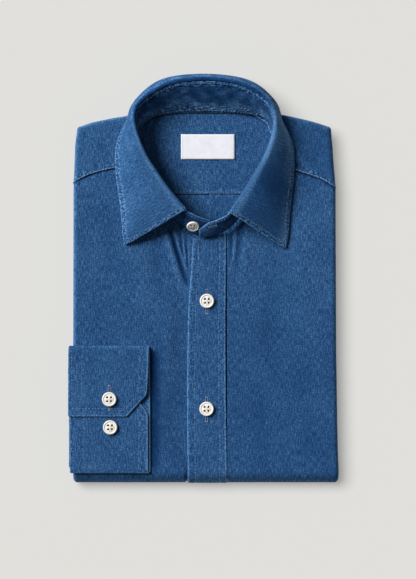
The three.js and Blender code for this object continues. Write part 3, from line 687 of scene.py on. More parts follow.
def path_at(path, share):
    """A row of a path table at a share of its length in the plane of its first two columns."""
    lengths = [0.0]
    for a, b in zip(path, path[1:]):
        lengths.append(lengths[-1] + math.hypot(b[0] - a[0], b[1] - a[1]))
    target = share * lengths[-1]
    row = min(bisect.bisect_right(lengths, target), len(path) - 1)
    part = (target - lengths[row - 1]) / (lengths[row] - lengths[row - 1])
    return [lerp(a, b, part) for a, b in zip(path[row - 1], path[row])], target, lengths[-1]


# The cuff's strip: its stitched rows, the shares where its two top layers end, and its wear
CUFF_LEFT_ROWS = (3.3, 12.5)
CUFF_RIGHT_ROW = 8.6
CUFF_END_ROW = 7.0
CUFF_OVER_ENDS = 0.33
CUFF_UNDER_STARTS = 0.72
CUFF_LEFT_WEAR = (0.6, 0.4, 0.8)
CUFF_RIGHT_WEAR = (2.8, 0.4, 0.8)
CUFF_END_WEAR = (1.1, 0.4, 0.8)
CUFF_TOP_WEAR = (0.3, -60.3, 1.2)
CUFF_BOTTOM_WEAR = (1.1, -175.4, 1.0)


def cuff_surface(s, t):
    (y, z, left, right), along, length = path_at(CUFF_PATH, t)
    x = lerp(left, right, s)
    in_left, in_right, in_end = x - left, right - x, min(along, length - along)
    over = t < CUFF_OVER_ENDS
    lift = sum(pucker(in_left, along, row, 61.0) for row in CUFF_LEFT_ROWS)
    lift += pucker(min(in_right, in_end + 1.6), along, CUFF_RIGHT_ROW, 63.0)
    lift += 0.22 * waves(x, along, 26, 64.0)
    lift *= smooth((s - 0.005) * 30) * smooth((1 - s) * 30)
    wear_light_and_shade = max(
        band(in_left, CUFF_LEFT_WEAR), band(in_right, CUFF_RIGHT_WEAR),
        band(in_end, CUFF_END_WEAR), band(y, CUFF_TOP_WEAR), band(y, CUFF_BOTTOM_WEAR))
    if over:
        # Painted shade in the slit of the cuff's buttonhole
        wear_light_and_shade -= slit(x, y, CUFF_HOLE)
    drawn = 0.4 * max(
        hem(in_left, CUFF_LEFT_ROWS[0]), hem(in_right, CUFF_RIGHT_ROW), hem(in_end, CUFF_END_ROW))
    if over or t > CUFF_UNDER_STARTS:
        z += lift
    return Vector((x, y, z)), (x, along), (wear_light_and_shade, drawn)


SLEEVE_WEAR = (0.4, 0, 2)
SLEEVE_SWELL = 0.5


def sleeve_surface(s, t):
    (x, z), along, _ = path_at(SLEEVE_PATH, t)
    y = lerp(*SLEEVE_ENDS, s)
    gather = SLEEVE_SWELL * waves(y, along * 0.2, 6, 71.0) * math.sin(math.pi * min(t * 1.3, 1))
    spot = Vector((x + min(0.4 + gather, SLEEVE_SWELL), y, z))
    return spot, (along, y), (band(along, SLEEVE_WEAR), 0.3)


LABEL_CLOTH = 0.6
LABEL_CLEARANCE = 0.15
LABEL_ROW_GROOVE = (0.2, 1.6, 0.8)


def label_surface(s, t):
    x = LABEL_PLACE[0] + (s - 0.5) * LABEL_WIDTH
    y = LABEL_PLACE[1] + (t - 0.5) * LABEL_LENGTH
    edge = min(s, 1 - s) * LABEL_WIDTH
    lift = 0.1 * waves(x, y, 11, 81.0) - band(edge, LABEL_ROW_GROOVE)
    base = NECK_TOP + GAP + LABEL_CLOTH + LABEL_CLEARANCE
    return Vector((x, y, base + lift)), (x, y), (0.0, 0.0)


# Shader maths, and one way to add any other node
class Value:
    """A socket whose sums are written as Python expressions."""

    def __init__(self, look, socket):
        self.look = look
        self.socket = socket

    def maths(self, operation, *values):
        return self.look.node("ShaderNodeMath", {"operation": operation}, values)

    def __add__(self, other):
        return self.maths("ADD", self, other)

    def __sub__(self, other):
        return self.maths("SUBTRACT", self, other)

    def __rsub__(self, other):
        return self.maths("SUBTRACT", other, self)

    def __mul__(self, other):
        return self.maths("MULTIPLY", self, other)

    __radd__ = __add__
    __rmul__ = __mul__

    def wave(self):
        return self.maths("SINE", self)


class Look:
    """A material with its Principled surface."""

    def __init__(self, name, **fixed):
        self.material = bpy.data.materials.new(name)
        self.material.use_nodes = True
        self.tree = self.material.node_tree
        self.surface = self.tree.nodes["Principled BSDF"]
        for socket, value in fixed.items():
            self.set(socket.replace("_", " "), value)

    def node(self, kind, settings=None, values=(), output=0):
        """Adds a node with its settings, then with the values or links of its sockets."""
        node = self.tree.nodes.new(kind)
        for name, value in (settings or {}).items():
            if name == "stops":
                elements = node.color_ramp.elements
                for index, (position, colour) in enumerate(value):
                    element = elements[index] if index < 2 else elements.new(position)
                    element.position, element.color = position, (*colour, 1)
            else:
                setattr(node, name, value)
        pairs = values.items() if isinstance(values, dict) else enumerate(values)
        for key, value in pairs:
            self.join(node.inputs[key], value)
        return Value(self, node.outputs[output])

    def join(self, socket, value):
        if isinstance(value, Value):
            self.tree.links.new(value.socket, socket)
        else:
            socket.default_value = value

    def set(self, socket, value):
        self.join(self.surface.inputs[socket], value)

    def mark(self, name):
        """A number that the piece's mesh carries."""
        return self.node("ShaderNodeAttribute", {"attribute_name": name}, output=2)

    def grain(self, across, along, detail=2.0):
        """Noise on the flat cloth, stretched along it: its sizes are in millimetres."""
        scaled = self.node("ShaderNodeVectorMath", {"operation": "MULTIPLY"}, {
            0: self.cloth(), 1: (1 / (across * MM), 1 / (along * MM), 1)})
        return self.node("ShaderNodeTexNoise", {"noise_dimensions": "2D"}, {
            "Vector": scaled, "Scale": 1.0, "Detail": detail, "Roughness": 0.6})

    def cloth(self):
        return self.node("ShaderNodeUVMap", {"uv_map": "cloth"})

    def cloud(self, scale, detail):
        """Noise in the piece's own space."""
        spot = self.node("ShaderNodeTexCoord", output=3)
        return self.node("ShaderNodeTexNoise", {}, {
            "Vector": spot, "Scale": scale, "Detail": detail})

    def ramp(self, value, *stops):
        return self.node("ShaderNodeValToRGB", {"stops": stops}, [value])

    def relief(self, height, strength, depth):
        """Raises the surface by a height; the depth is in millimetres."""
        self.set("Normal", self.node("ShaderNodeBump", {}, {
            "Height": height, "Strength": strength, "Distance": depth * MM}))


def linear(red, green, blue):
    """Scene colour of an sRGB colour from 0 to 255."""
    def channel(value):
        value /= 255
        return value / 12.92 if value <= 0.04045 else ((value + 0.055) / 1.055) ** 2.4
    return tuple(channel(value) for value in (red, green, blue))


TWILL_SLOPE = 0.72
TWILL_PITCH = 1.1
DENIM_MIDDLE = 0.42
DENIM_RELIEF = 0.28
FADE_AND_SHADE_STRENGTH = 0.58
SATIN_RELIEF = 0.2
THREAD_TONES = (0.7, 1.2)
# Painted shade on the walls of the button holes
HOLE_WALL_PAINTED_SHADE = linear(134, 132, 128)


def denim_look(name, dark, mid, pale):
    """Denim of three tones; it fades where it is worn, takes painted light and shade from the same
    mark, and is puckered where it is drawn in, the puckers paler on their crests from wear and
    darker in their hollows as painted shade.
    """
    look = Look(name, Sheen_Weight=0.02, Sheen_Roughness=0.4, Specular_IOR_Level=0.08)
    slub = look.grain(0.8, 5.5)
    fleck = look.grain(0.6, 1.2, 1.0)
    weft = look.grain(3.6, 0.6, 1.0)
    cloud = look.grain(24.0, 34.0, 3.0)
    ripple = look.grain(2.3, 2.3, 1.0)
    across = look.node("ShaderNodeSeparateXYZ", {}, [look.cloth()])
    along = Value(look, across.socket.node.outputs[1])
    twill = ((across * TWILL_SLOPE + along) * (2 * math.pi / (TWILL_PITCH * MM))).wave()
    puckers = (ripple - 0.5) * look.mark("drawn")
    tone = (slub - 0.5) * 0.92 + (fleck - 0.5) * 0.9 + (weft - 0.5) * 0.4 + (cloud - 0.5) * 0.2
    # Puckers: paler crests from wear, darker hollows as painted shade
    tone = tone + twill * 0.03 + puckers * 1.3 + DENIM_MIDDLE
    fade_and_shade = look.mark("wear_light_and_shade") * (0.8 + (fleck - 0.5) * 1.4 + (slub - 0.5) * 0.8)
    look.set("Base Color", look.ramp(
        tone + fade_and_shade * FADE_AND_SHADE_STRENGTH, (0.0, dark), (1.0, pale), (DENIM_MIDDLE, mid)))
    look.set("Roughness", 0.95 - fade_and_shade * 0.06)
    look.relief(twill * 0.3 + slub * 1.1 + fleck * 1.1 + weft * 0.5 + puckers * 6.5,
                0.6, DENIM_RELIEF)
    return look.material


def thread_look(name, colour):
    """Twisted thread, a little darker and paler than its colour."""
    look = Look(name, Roughness=0.75, Sheen_Weight=0.2)
    dark, pale = (tuple(min(tone * part, 1) for part in colour) for tone in THREAD_TONES)
    look.set("Base Color", look.ramp(look.cloud(2600.0, 1.0), (0.3, dark), (0.7, pale)))
    return look.material


def label_look():
    look = Look("label_satin", Roughness=0.55, Sheen_Weight=0.15)
    weave = look.grain(0.5, 0.25, 1.0)
    look.set("Base Color", look.ramp(
        weave * 0.5 + look.grain(9.0, 7.0, 2.0) * 0.5,
        (0.2, linear(226, 226, 234)), (0.8, linear(250, 250, 255))))
    look.relief(weave, 0.25, SATIN_RELIEF)
    return look.material


def button_look():
    """Pale clouded shell, with painted shade on the walls of the holes."""
    look = Look("button_shell", Roughness=0.45, Coat_Weight=0.08)
    cloud = look.cloud(260.0, 3.0)
    tone = look.ramp(cloud, (0.25, linear(222, 217, 207)), (0.75, linear(250, 247, 240)))
    look.set("Base Color", look.node("ShaderNodeMix", {"data_type": "RGBA"}, {
        0: look.mark("painted_shade"), 6: tone, 7: (*HOLE_WALL_PAINTED_SHADE, 1)}, output=2))
    look.set("Roughness", 0.38 + cloud * 0.16)
    return look.material


# Finishes by their slots, with the dark, middle and pale tone of each denim, and the threads
FINISHES = {name: denim_look(name, *(linear(*tone) for tone in tones)) for name, tones in {
    "body_denim": ((12, 44, 86), (38, 79, 126), (100, 148, 196)),
    "yoke_denim": ((13, 46, 88), (40, 82, 129), (102, 150, 198)),
    "inside_denim": ((12, 44, 86), (38, 80, 127), (104, 150, 196)),
    # The collar's denim is a slightly paler copy of the body's, as painted light
    "collar_denim": ((13, 46, 89), (42, 86, 135), (112, 160, 208)),
}.items()}
FINISHES["label_cloth"] = label_look()
FINISHES["button_shell"] = button_look()
THREADS = {name: thread_look(name, linear(*tone)) for name, tone in {
    "seam_thread": (96, 136, 180), "edge_thread": (150, 180, 210),
    "label_thread": (206, 208, 218), "hole_thread": (122, 142, 172),
    "button_thread": (222, 218, 210),
}.items()}


# Pieces
def soften(bm):
    for face in bm.faces:
        face.smooth = True


def link(name, mesh, material=None):
    """Puts a mesh, or a bmesh with its material, into the scene as a piece."""
    if material:
        bm, mesh = mesh, bpy.data.meshes.new(name)
        bm.to_mesh(mesh)
        bm.free()
        mesh.materials.append(material)
    piece = bpy.data.objects.new(name, mesh)
    bpy.context.scene.collection.objects.link(piece)
    return piece


def dress(piece, node=None):
    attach(piece, "root")
    if node:
        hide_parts(node)


AREA_MARGIN = 1.001


def declare_sheet(spans, area):
    """Works out the spans on the flat cloth, widened where the surface has more area, and keeps
    nothing.
    """
    width, length = spans
    scale = max(1.0, math.sqrt(area / (width * length)) * AREA_MARGIN)
    width * scale
    length * scale


def cloth_piece(node, surface, steps, thickness, slot,
                inside_out=False, rounded=False):
    """A wall of cloth that replaces a node: its outer face lies on a surface of two shares."""
    bm = bmesh.new()
    uv = bm.loops.layers.uv.new("cloth")
    # The wear mark also carries painted light and shade
    wear_light_and_shade, drawn = bm.verts.layers.float.new("wear_light_and_shade"), bm.verts.layers.float.new("drawn")
    bmesh.ops.create_grid(bm, x_segments=steps[0], y_segments=steps[1], size=1)
    flat = {}
    for vertex in bm.verts:
        s, t = (vertex.co.x + 1) / 2, (vertex.co.y + 1) / 2
        spot, flat[vertex], (vertex[wear_light_and_shade], vertex[drawn]) = surface(s, t)
        vertex.co = metres(spot)
    soften(bm)
    for face in bm.faces:
        for corner in face.loops:
            corner[uv].uv = [MM * value for value in flat[corner.vert]]
    if inside_out:
        bmesh.ops.reverse_faces(bm, faces=bm.faces)
    area = sum(face.calc_area() for face in bm.faces)
    spans = [(max(places) - min(places)) * MM for places in zip(*flat.values())]
    piece = link(node + "_cloth", bm, FINISHES[slot])
    wall = piece.modifiers.new("cloth", "SOLIDIFY")
    wall.thickness = thickness * MM
    wall.offset = -1
    if rounded:
        soft = piece.modifiers.new("soft", "SUBSURF")
        soft.levels = soft.render_levels = 1
    dress(piece, node)
    declare_sheet(spans, area)


# Hidden plies, laid in rings up the side of the stack: height, how far in, both in mm
PLY_BULGES = [(1.6, 1.55, 1.2), (4.85, 1.6, 0.9), (8.1, 1.55, 1.4)]
PLY_TURNS = (-88, -64, -40, -18, 0, 18, 40, 64, 88)
PLY_DEPTH = 2.6
UPPER_LEVELS = [
    (10.0, 11.6), (10.6, 11), (11.4, 11), (12.2, 12), (13.6, 4), (15.4, 2.6), (17.1, 2.5),
    (18.2, 3), (HIDDEN_TOP, 4.4),
]
PLY_CORNER = 9
PLY_SIDE_TOP = 134
HEEL = 7.6
HEEL_ROUNDING = 3
SHOULDER_RECESS = 1.8
LOWER_PLY_WEAR = 0.35
LOWER_PLY_TOP = 10

# The hollow of the neck in the plies, and how far out each of its rings may lie
HOLLOW_Y = 104
HOLLOW_HALF_WIDTH = 68
HOLLOW_FRONT = 57
HOLLOW_BACK = 70
HOLLOW_SLOPE = 7
RIM_SHARES = (0.97, 0.95, 0.93, 0.91)


def ply_levels():
    levels = []
    for middle, half, inset in PLY_BULGES:
        for turn in map(math.radians, PLY_TURNS):
            depth = inset + PLY_DEPTH * (1 - math.cos(turn))
            levels.append((middle + half * math.sin(turn), depth))
    return [(max(z, 0), inset) for z, inset in levels + UPPER_LEVELS]


def heel_inset(z):
    """How far in the plies lie at the bottom fold, inside the fronts that turn round them."""
    half = STACK_HEIGHT / 2
    radius = HIDDEN_TOP - half
    if z < half / 2:
        return HEEL + HEEL_ROUNDING * (1 - min(z, 1))
    return half - math.sqrt(max(radius ** 2 - (z - half) ** 2, 0))


def ply_outline(z, inset):
    """Outline of the plies at one height, with round corners."""
    shoulder = inset + SHOULDER_RECESS
    low = BOTTOM_LINE + heel_inset(z)
    points = []

    def arc(x, y, start):
        for step in range(0, 91, 10):
            turn = math.radians(start + step)
            points.append((x + PLY_CORNER * math.cos(turn), y + PLY_CORNER * math.sin(turn)))

    def waver(y, seed):
        return 0.5 * waves(y, z * 1.4, 30, seed) + 0.15 * waves(y, z * 2, 7, seed)

    right, left = right_side(PLY_SIDE_TOP) - inset, left_side(PLY_SIDE_TOP) + inset
    arc(right_side(low) - inset - PLY_CORNER, low + PLY_CORNER, -90)
    points.extend((right_side(y) - inset + waver(y, 91.0), y) for y in range(-150, 121, 6))
    arc(right - PLY_CORNER, YOKE_EDGES[-1][2] - shoulder - PLY_CORNER, 0)
    points.extend((x, lookup(YOKE_EDGES, x, 2) - shoulder) for x in range(94, -95, -6))
    arc(left + PLY_CORNER, YOKE_EDGES[0][2] - shoulder - PLY_CORNER, 90)
    points.extend((left_side(y) + inset + waver(y, 95.0), y) for y in range(120, -151, -6))
    arc(left_side(low) + inset + PLY_CORNER, low + PLY_CORNER, 180)
    points.extend((x, low) for x in range(-100, 101, 10))
    return points


def hollow_radius(angle):
    reach = HOLLOW_FRONT if math.sin(angle) < 0 else HOLLOW_BACK
    side, end = abs(math.cos(angle)) / HOLLOW_HALF_WIDTH, abs(math.sin(angle)) / reach
    return (side ** 4 + end ** 4) ** -0.25


def hidden_top(x, y):
    distance = math.hypot(x, y - HOLLOW_Y)
    radius = hollow_radius(math.atan2(y - HOLLOW_Y, x))
    floor = smooth((radius + HOLLOW_SLOPE - distance) / HOLLOW_SLOPE)
    return min(lerp(HIDDEN_TOP, NECK_FLOOR, floor), HIDDEN_TOP * (1 - squash(x, y)))


def hollow_ring(rim, index):
    """A ring inside the rim: halfway to the hollow, at its brink, at its foot, or on its floor."""
    ring = []
    for point in rim:
        dx, dy = point.x, point.y - HOLLOW_Y
        distance = math.hypot(dx, dy)
        foot = hollow_radius(math.atan2(dy, dx))
        brink = foot + HOLLOW_SLOPE
        reach = ((distance + brink) / 2, brink, foot, foot / 2)[index]
        share = min(reach / distance, RIM_SHARES[index])
        x, y = dx * share, HOLLOW_Y + dy * share
        ring.append(Vector((x, y, hidden_top(x, y))))
    return ring


def join_rings(bm, rings):
    """Extrudes a capped circle from ring to ring and closes the last one."""
    bmesh.ops.create_circle(bm, cap_ends=True, segments=len(rings[0]), radius=1)
    loop = sorted(bm.verts, key=lambda vertex: math.atan2(vertex.co.y, vertex.co.x) % (2 * math.pi))
    bmesh.ops.reverse_faces(bm, faces=bm.faces)
    for vertex, spot in zip(loop, rings[0]):
        vertex.co = metres(spot)
    for ring in rings[1:]:
        edges = [bm.edges.get((a, b)) for a, b in zip(loop, loop[1:] + loop[:1])]
        made = bmesh.ops.extrude_edge_only(bm, edges=edges)["geom"]
        fresh = {v for v in made if isinstance(v, bmesh.types.BMVert)}
        loop = [next(e.other_vert(v) for e in v.link_edges if e.other_vert(v) in fresh)
                for v in loop]
        for vertex, spot in zip(loop, ring):
            vertex.co = metres(spot)
    bmesh.ops.contextual_create(bm, geom=loop)
    bmesh.ops.recalc_face_normals(bm, faces=bm.faces)


def folded_plies():
    rings = [[Vector((x, y, z * hidden_top(x, y) / HIDDEN_TOP)) for x, y in ply_outline(z, inset)]
             for z, inset in ply_levels()]
    rim = rings[-1]
    rings += [hollow_ring(rim, index) for index in range(len(RIM_SHARES))]
    bm = bmesh.new()
    uv = bm.loops.layers.uv.new("cloth")
    wear_light_and_shade = bm.verts.layers.float.new("wear_light_and_shade")
    bm.verts.layers.float.new("drawn")
    join_rings(bm, rings)
    for face in bm.faces:
        face.smooth = len(face.verts) == 4
        steep = abs(face.normal.z) < 0.8
        for corner in face.loops:
            x, y, z = corner.vert.co
            corner[uv].uv = (x + y, z * 1.5) if steep else (x, y)
    for vertex in bm.verts:
        vertex[wear_light_and_shade] = LOWER_PLY_WEAR if vertex.co.z < LOWER_PLY_TOP * MM else 0.0
    dress(link("folded_plies", bm, FINISHES["body_denim"]), "folded_layers")


folded_plies()
cloth_piece("front_left", front_surface(LEFT_FRONT_TOP, -1, left_side, True), (130, 170), CLOTH,
            "body_denim", inside_out=True)
cloth_piece("front_right", front_surface(RIGHT_FRONT_TOP, 1, right_side, False), (90, 170), CLOTH,
            "body_denim")
cloth_piece("placket", placket_surface, (28, 150), CLOTH, "body_denim",
            rounded=True)
cloth_piece("yoke", yoke_surface, (126, 32), CLOTH, "yoke_denim")
cloth_piece("yoke_inner", inner_yoke_surface, (58, 36), NECK_CLOTH, "inside_denim")
cloth_piece("back", back_surface, (90, 14), NECK_CLOTH, "inside_denim")
cloth_piece("collar_stand", stand_surface, (230, 14), CLOTH, "collar_denim",
            inside_out=True, rounded=True)
cloth_piece("collar_leaf", leaf_surface, (250, 34), CLOTH, "collar_denim",
            inside_out=True, rounded=True)
cloth_piece("label", label_surface, (40, 20), LABEL_CLOTH, "label_cloth")
cloth_piece("sleeve", sleeve_surface, (54, 14), SLEEVE_CLOTH, "body_denim")
cloth_piece("cuff", cuff_surface, (40, 140), CUFF_CLOTH, "body_denim",
            rounded=True)


# Buttons
BUTTON_PROFILE = [
    (0.0, 0.0), (BUTTON_RADIUS - 0.8, 0.0), (BUTTON_RADIUS - 0.2, 0.35), (BUTTON_RADIUS, 0.9),
    (BUTTON_RADIUS, BUTTON_HEIGHT - 0.9), (BUTTON_RADIUS - 0.22, BUTTON_HEIGHT - 0.3),
    (BUTTON_RADIUS - 0.75, BUTTON_HEIGHT), (BUTTON_RIM, BUTTON_HEIGHT - 0.1),
    (BUTTON_RIM - 0.3, BUTTON_DISH - 0.15), (BUTTON_RIM - 0.65, BUTTON_DISH - 0.1),
    (BUTTON_RIM - 1.0, BUTTON_DISH + 0.08), (0.0, BUTTON_DISH),
]
THREAD_REACH = BUTTON_SPREAD * math.sqrt(2) - 0.95
THREAD_HALF_WIDTH = 0.24
THREAD_HALF_HEIGHT = 0.14
THREAD_SUNK = 0.05


def turned_disc(name):
    bm = bmesh.new()
    line = [bm.verts.new((radius * MM, 0, height * MM)) for radius, height in BUTTON_PROFILE]
    edges = [bm.edges.new(pair) for pair in zip(line, line[1:])]
    bmesh.ops.spin(bm, geom=line + edges, cent=(0, 0, 0), axis=(0, 0, 1), angle=2 * math.pi,
                   steps=48, use_merge=True, use_duplicate=False)
    bmesh.ops.remove_doubles(bm, verts=bm.verts, dist=1e-6)
    bmesh.ops.recalc_face_normals(bm, faces=bm.faces)
    soften(bm)
    return link(name, bm, FINISHES["button_shell"])


def four_drills(name):
    bm = bmesh.new()
    for x in (-1, 1):
        for y in (-1, 1):
            at = Matrix.Translation((x * BUTTON_SPREAD * MM, y * BUTTON_SPREAD * MM, 0))
            bmesh.ops.create_cone(
                bm, cap_ends=True, segments=20, radius1=BUTTON_HOLE * MM,
                radius2=BUTTON_HOLE * MM, depth=4 * BUTTON_HEIGHT * MM, matrix=at)
    return link(name, bm, FINISHES["button_shell"])


def button(node, at, tilt, size):
    """A four-hole button; the walls of its holes are marked for painted shade."""
    disc, drills = turned_disc(node + "_disc"), four_drills(node + "_drills")
    cut = disc.modifiers.new("holes", "BOOLEAN")
    cut.object, cut.operation, cut.solver = drills, "DIFFERENCE", "EXACT"
    bpy.context.view_layer.update()
    shaped = disc.evaluated_get(bpy.context.evaluated_depsgraph_get())
    mesh = bpy.data.meshes.new_from_object(shaped)
    mesh.name = node + "_shell"
    bpy.data.objects.remove(disc)
    bpy.data.objects.remove(drills)
    painted_shade = mesh.attributes.new("painted_shade", "FLOAT", "FACE")
    holes_end = (BUTTON_SPREAD * 1.5 + BUTTON_HOLE) * MM
    for face in mesh.polygons:
        in_hole = face.center.xy.length < holes_end and abs(face.normal.z) < 0.5
        painted_shade.data[face.index].value = 1.0 if in_hole else 0.0
    turn = (Matrix.Translation(metres(at)) @ Matrix.Rotation(math.radians(tilt), 4, "X")
            @ Matrix.Scale(size, 4))
    mesh.transform(turn)
    dress(link(mesh.name, mesh), node)
    sew_on(node, turn)


def sew_on(node, turn):
    """Two crossed threads through the four holes, sunk into the dish."""
    bm = bmesh.new()
    sunk = Matrix.Translation((0, 0, (BUTTON_DISH - THREAD_SUNK) * MM))
    half_axes = (THREAD_REACH * MM, THREAD_HALF_WIDTH * MM, THREAD_HALF_HEIGHT * MM, 1)
    for angle in (45, 135):
        crossed = Matrix.Rotation(math.radians(angle), 4, "Z")
        bmesh.ops.create_uvsphere(bm, u_segments=10, v_segments=6, radius=1,
                                  matrix=turn @ sunk @ crossed @ Matrix.Diagonal(half_axes))
    soften(bm)
    dress(link(node + "_thread", bm, THREADS["button_thread"]))


for row in BUTTONS:
    button(*row)


# Topstitching and buttonholes: every stitch is a small bead with three half axes
STITCH_PITCH = 2.9
STITCH_LENGTH = 2.3
STITCH_WIDTH = 0.5
STITCH_HALF_HEIGHT = 0.2
STITCH_LIFT = 0.08
ROW_SAMPLES = 400
SHARE_STEP = 0.004


def bead(bm, at, *half_axes):
    basis = Matrix(half_axes).transposed() * MM
    bmesh.ops.create_uvsphere(bm, u_segments=6, v_segments=4, radius=1,
                              matrix=Matrix.Translation(metres(at)) @ basis.to_4x4())


def facing(surface, s, t, lift):
    """The way across a surface, and its normal on the side of a positive or negative lift."""
    across = surface(min(s + SHARE_STEP, 1), t)[0] - surface(max(s - SHARE_STEP, 0), t)[0]
    along = surface(s, min(t + SHARE_STEP, 1))[0] - surface(s, max(t - SHARE_STEP, 0))[0]
    normal = across.cross(along).normalized()
    return across.normalized(), normal if lift > 0 else -normal


def stitches(bm, surface, rows, lift=STITCH_LIFT, pitch=STITCH_PITCH, length=STITCH_LENGTH,
             width=STITCH_WIDTH):
    """Sews rows of stitches onto a surface; a row gives the two shares at a share of its length."""
    for row in rows:
        spots = [surface(*row(step / ROW_SAMPLES))[0] for step in range(ROW_SAMPLES + 1)]
        walked, wanted = 0.0, pitch / 2
        for index, (spot, following) in enumerate(zip(spots, spots[1:])):
            gap = (following - spot).length
            walked += gap
            if walked < wanted or gap < 1e-6:
                continue
            wanted += pitch
            normal = facing(surface, *row((index + 0.5) / ROW_SAMPLES), lift)[1]
            heading = (following - spot).normalized()
            side = normal.cross(heading).normalized()
            bead(bm, spot + normal * abs(lift), heading * length / 2, side * width / 2,
                 normal * STITCH_HALF_HEIGHT)


def sewn(name, slot, *parts, thread="seam_thread"):
    bm = bmesh.new()
    for part in parts:
        stitches(bm, *part)
    soften(bm)
    dress(link(name, bm, THREADS[thread]))


def row_across(t, start=0.0, end=1.0):
    return lambda share: (lerp(start, end, share), t)


def row_along(s, start=0.0, end=1.0):
    return lambda share: (s, lerp(start, end, share))


def leaf_row_outer(share):
    s = lerp(0.016, 0.984, share)
    return s, 1 - LEAF_ROW / fall_length(leaf_curve(s))


PLACKET_WIDTH = 35.0
placket_side = PLACKET_ROW / PLACKET_WIDTH
sewn("placket_stitches", "body_denim", (placket_surface, [
    row_along(side, 0.06, 0.985) for side in (placket_side, 1 - placket_side)]))
sewn("leaf_stitches", "collar_denim", (leaf_surface, [
    leaf_row_outer, row_along(0.016, 0.2, 0.9), row_along(0.984, 0.2, 0.9)],
    CLOTH + STITCH_LIFT))
sewn("stand_stitches", "collar_denim", (stand_surface, [
    row_across(0.045, 0.375, 0.585), row_across(0.94, 0.33, 0.67)], CLOTH + STITCH_LIFT),
    (stand_surface, [row_across(0.84, 0.01, 0.2), row_across(0.84, 0.8, 0.985)], -STITCH_LIFT))
sewn("yoke_stitches", "yoke_denim", (yoke_surface, [
    row_across(0.014, 0.022, 0.235), row_across(0.014, 0.77, 0.978)]), thread="edge_thread")
sewn("label_stitches", "label_cloth", (label_surface, [
    row_along(0.03, 0.04, 0.96), row_along(0.97, 0.04, 0.96)], STITCH_LIFT, 1.5, 1.0, 0.35),
    thread="label_thread")
sewn("inner_yoke_stitches", "inside_denim", (inner_yoke_surface, [row_across(0.036)]))
CUFF_WIDTH = 72.0
cuff_first, cuff_second = (row / CUFF_WIDTH for row in CUFF_LEFT_ROWS)
cuff_last = 1 - CUFF_RIGHT_ROW / CUFF_WIDTH
sewn("cuff_stitches", "body_denim", (cuff_surface, [
    row_along(cuff_first, 0.01, 0.26), row_along(cuff_second, 0.01, 0.26),
    row_along(cuff_last, 0.03, 0.26), row_across(0.03, 0.06, 0.86),
    row_along(cuff_first, 0.76, 0.96), row_along(cuff_second, 0.76, 0.96),
    row_along(cuff_last, 0.76, 0.97)]))


# Buttonholes: a slit between two packed rows of stitches, with a bar at each end
HOLE_HALF_WIDTH = 0.85
HOLE_PITCH = 0.5
HOLE_STITCH = (0.52, 0.24)
BAR_STITCH = (HOLE_HALF_WIDTH + 0.6, 0.22)
BAR_ROWS = (-0.35, 0, 0.35)
HOLE_THREAD_HEIGHT = 0.22


def buttonhole(name, surface, share, length=HOLE_LENGTH, lift=STITCH_LIFT, upright=True,
               thread="hole_thread"):
    spot = surface(*share)[0]
    across, normal = facing(surface, *share, lift)
    side = Vector((1, 0, 0)) if upright else normal.cross(across).normalized()
    heading = side.cross(normal).normalized()
    bm = bmesh.new()

    def sew(run, aside, stitch):
        bead(bm, spot + heading * run + side * aside + normal * abs(lift),
             side * stitch[0], heading * stitch[1], normal * HOLE_THREAD_HEIGHT)

    count = int(length / HOLE_PITCH)
    for index in range(count + 1):
        for aside in (-HOLE_HALF_WIDTH, HOLE_HALF_WIDTH):
            sew((index / count - 0.5) * length, aside, HOLE_STITCH)
    for end in (-0.5, 0.5):
        for row in BAR_ROWS:
            sew(end * length + row, 0, BAR_STITCH)
    soften(bm)
    dress(link(name, bm, THREADS[thread]))


def placket_share(x, y):
    low, high = PLACKET_EDGES[0][0], PLACKET_EDGES[-1][0]
    left, right = lookup(PLACKET_EDGES, y, 1), lookup(PLACKET_EDGES, y, 2)
    return (x - left) / (right - left), (BOTTOM_ARC + y - low) / (BOTTOM_ARC + high - low)


def cuff_share(x, y):
    walked = y - CUFF_PATH[0][0]
    length = path_at(CUFF_PATH, 0)[2]
    _, _, left, right = path_at(CUFF_PATH, walked / length)[0]
    return (x - left) / (right - left), walked / length


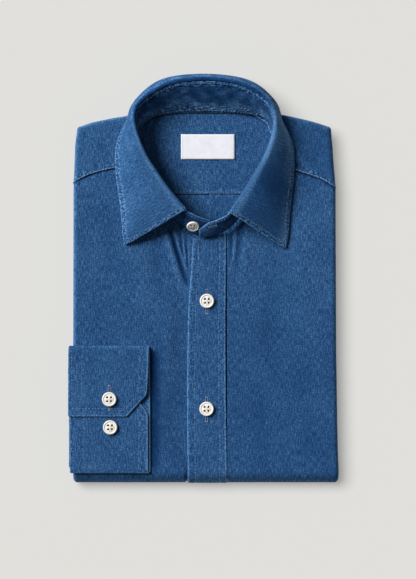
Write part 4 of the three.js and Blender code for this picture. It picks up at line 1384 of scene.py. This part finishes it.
for name, hole in zip(("front_hole_upper", "front_hole_lower"), FRONT_HOLES):
    buttonhole(name, placket_surface, placket_share(*hole))
buttonhole("cuff_hole", cuff_surface, cuff_share(*CUFF_HOLE))
STAND_HOLE = (0.945, 0.66)
STAND_HOLE_LENGTH = 7
buttonhole("stand_hole", stand_surface, STAND_HOLE, STAND_HOLE_LENGTH,
           -STITCH_LIFT, upright=False, thread="seam_thread")


# Floor and light
FLOOR_TONE = linear(225, 224, 220)
FLOOR_GLOW = 0.38
FLOOR_HALF_SIZE = 4
FLOOR_DROP = 0.2

# The share of the light that comes from a lamp; a level sheet is lit to its own colour
LAMP_SHARE = 0.87


def floor():
    """The pale floor; part of its tone is its own glow, which softens the shadows on it."""
    bm = bmesh.new()
    bmesh.ops.create_grid(bm, x_segments=1, y_segments=1, size=FLOOR_HALF_SIZE)
    look = Look("pale_floor", Roughness=1.0, Specular_IOR_Level=0.0, Emission_Strength=FLOOR_GLOW)
    look.set("Base Color", (*[(1 - FLOOR_GLOW) * part for part in FLOOR_TONE], 1))
    look.set("Emission Color", (*FLOOR_TONE, 1))
    ground = link("floor", bm, look.material)
    ground.location.z = -FLOOR_DROP * MM
    return ground


def lamp(name, azimuth, elevation, spread, ground, link_state):
    """A broad lamp at the upper left that lights the floor alone, or all but the floor."""
    turn, rise = math.radians(azimuth), math.radians(elevation)
    data = bpy.data.lights.new(name, "SUN")
    data.angle = math.radians(spread)
    data.energy = LAMP_SHARE * math.pi / math.sin(rise)
    light = bpy.data.objects.new(name, data)
    flat = math.cos(rise)
    towards = Vector((flat * math.cos(turn), flat * math.sin(turn), math.sin(rise)))
    light.rotation_euler = towards.to_track_quat("Z", "Y").to_euler()
    bpy.context.scene.collection.objects.link(light)
    chosen = bpy.data.collections.new(name + "_chosen")
    chosen.objects.link(ground)
    chosen.collection_objects[0].light_linking.link_state = link_state
    light.light_linking.receiver_collection = chosen


def sky():
    world = bpy.data.worlds.new("sky")
    world.use_nodes = True
    glow = world.node_tree.nodes["Background"].inputs
    glow["Color"].default_value = (1, 1, 1, 1)
    glow["Strength"].default_value = 1 - LAMP_SHARE
    bpy.context.scene.world = world


ground = floor()
lamp("key", 145, 38, 28, ground, "EXCLUDE")
lamp("floor_key", 142, 61, 40, ground, "INCLUDE")
sky()
bpy.context.scene.view_settings.view_transform = "Standard"
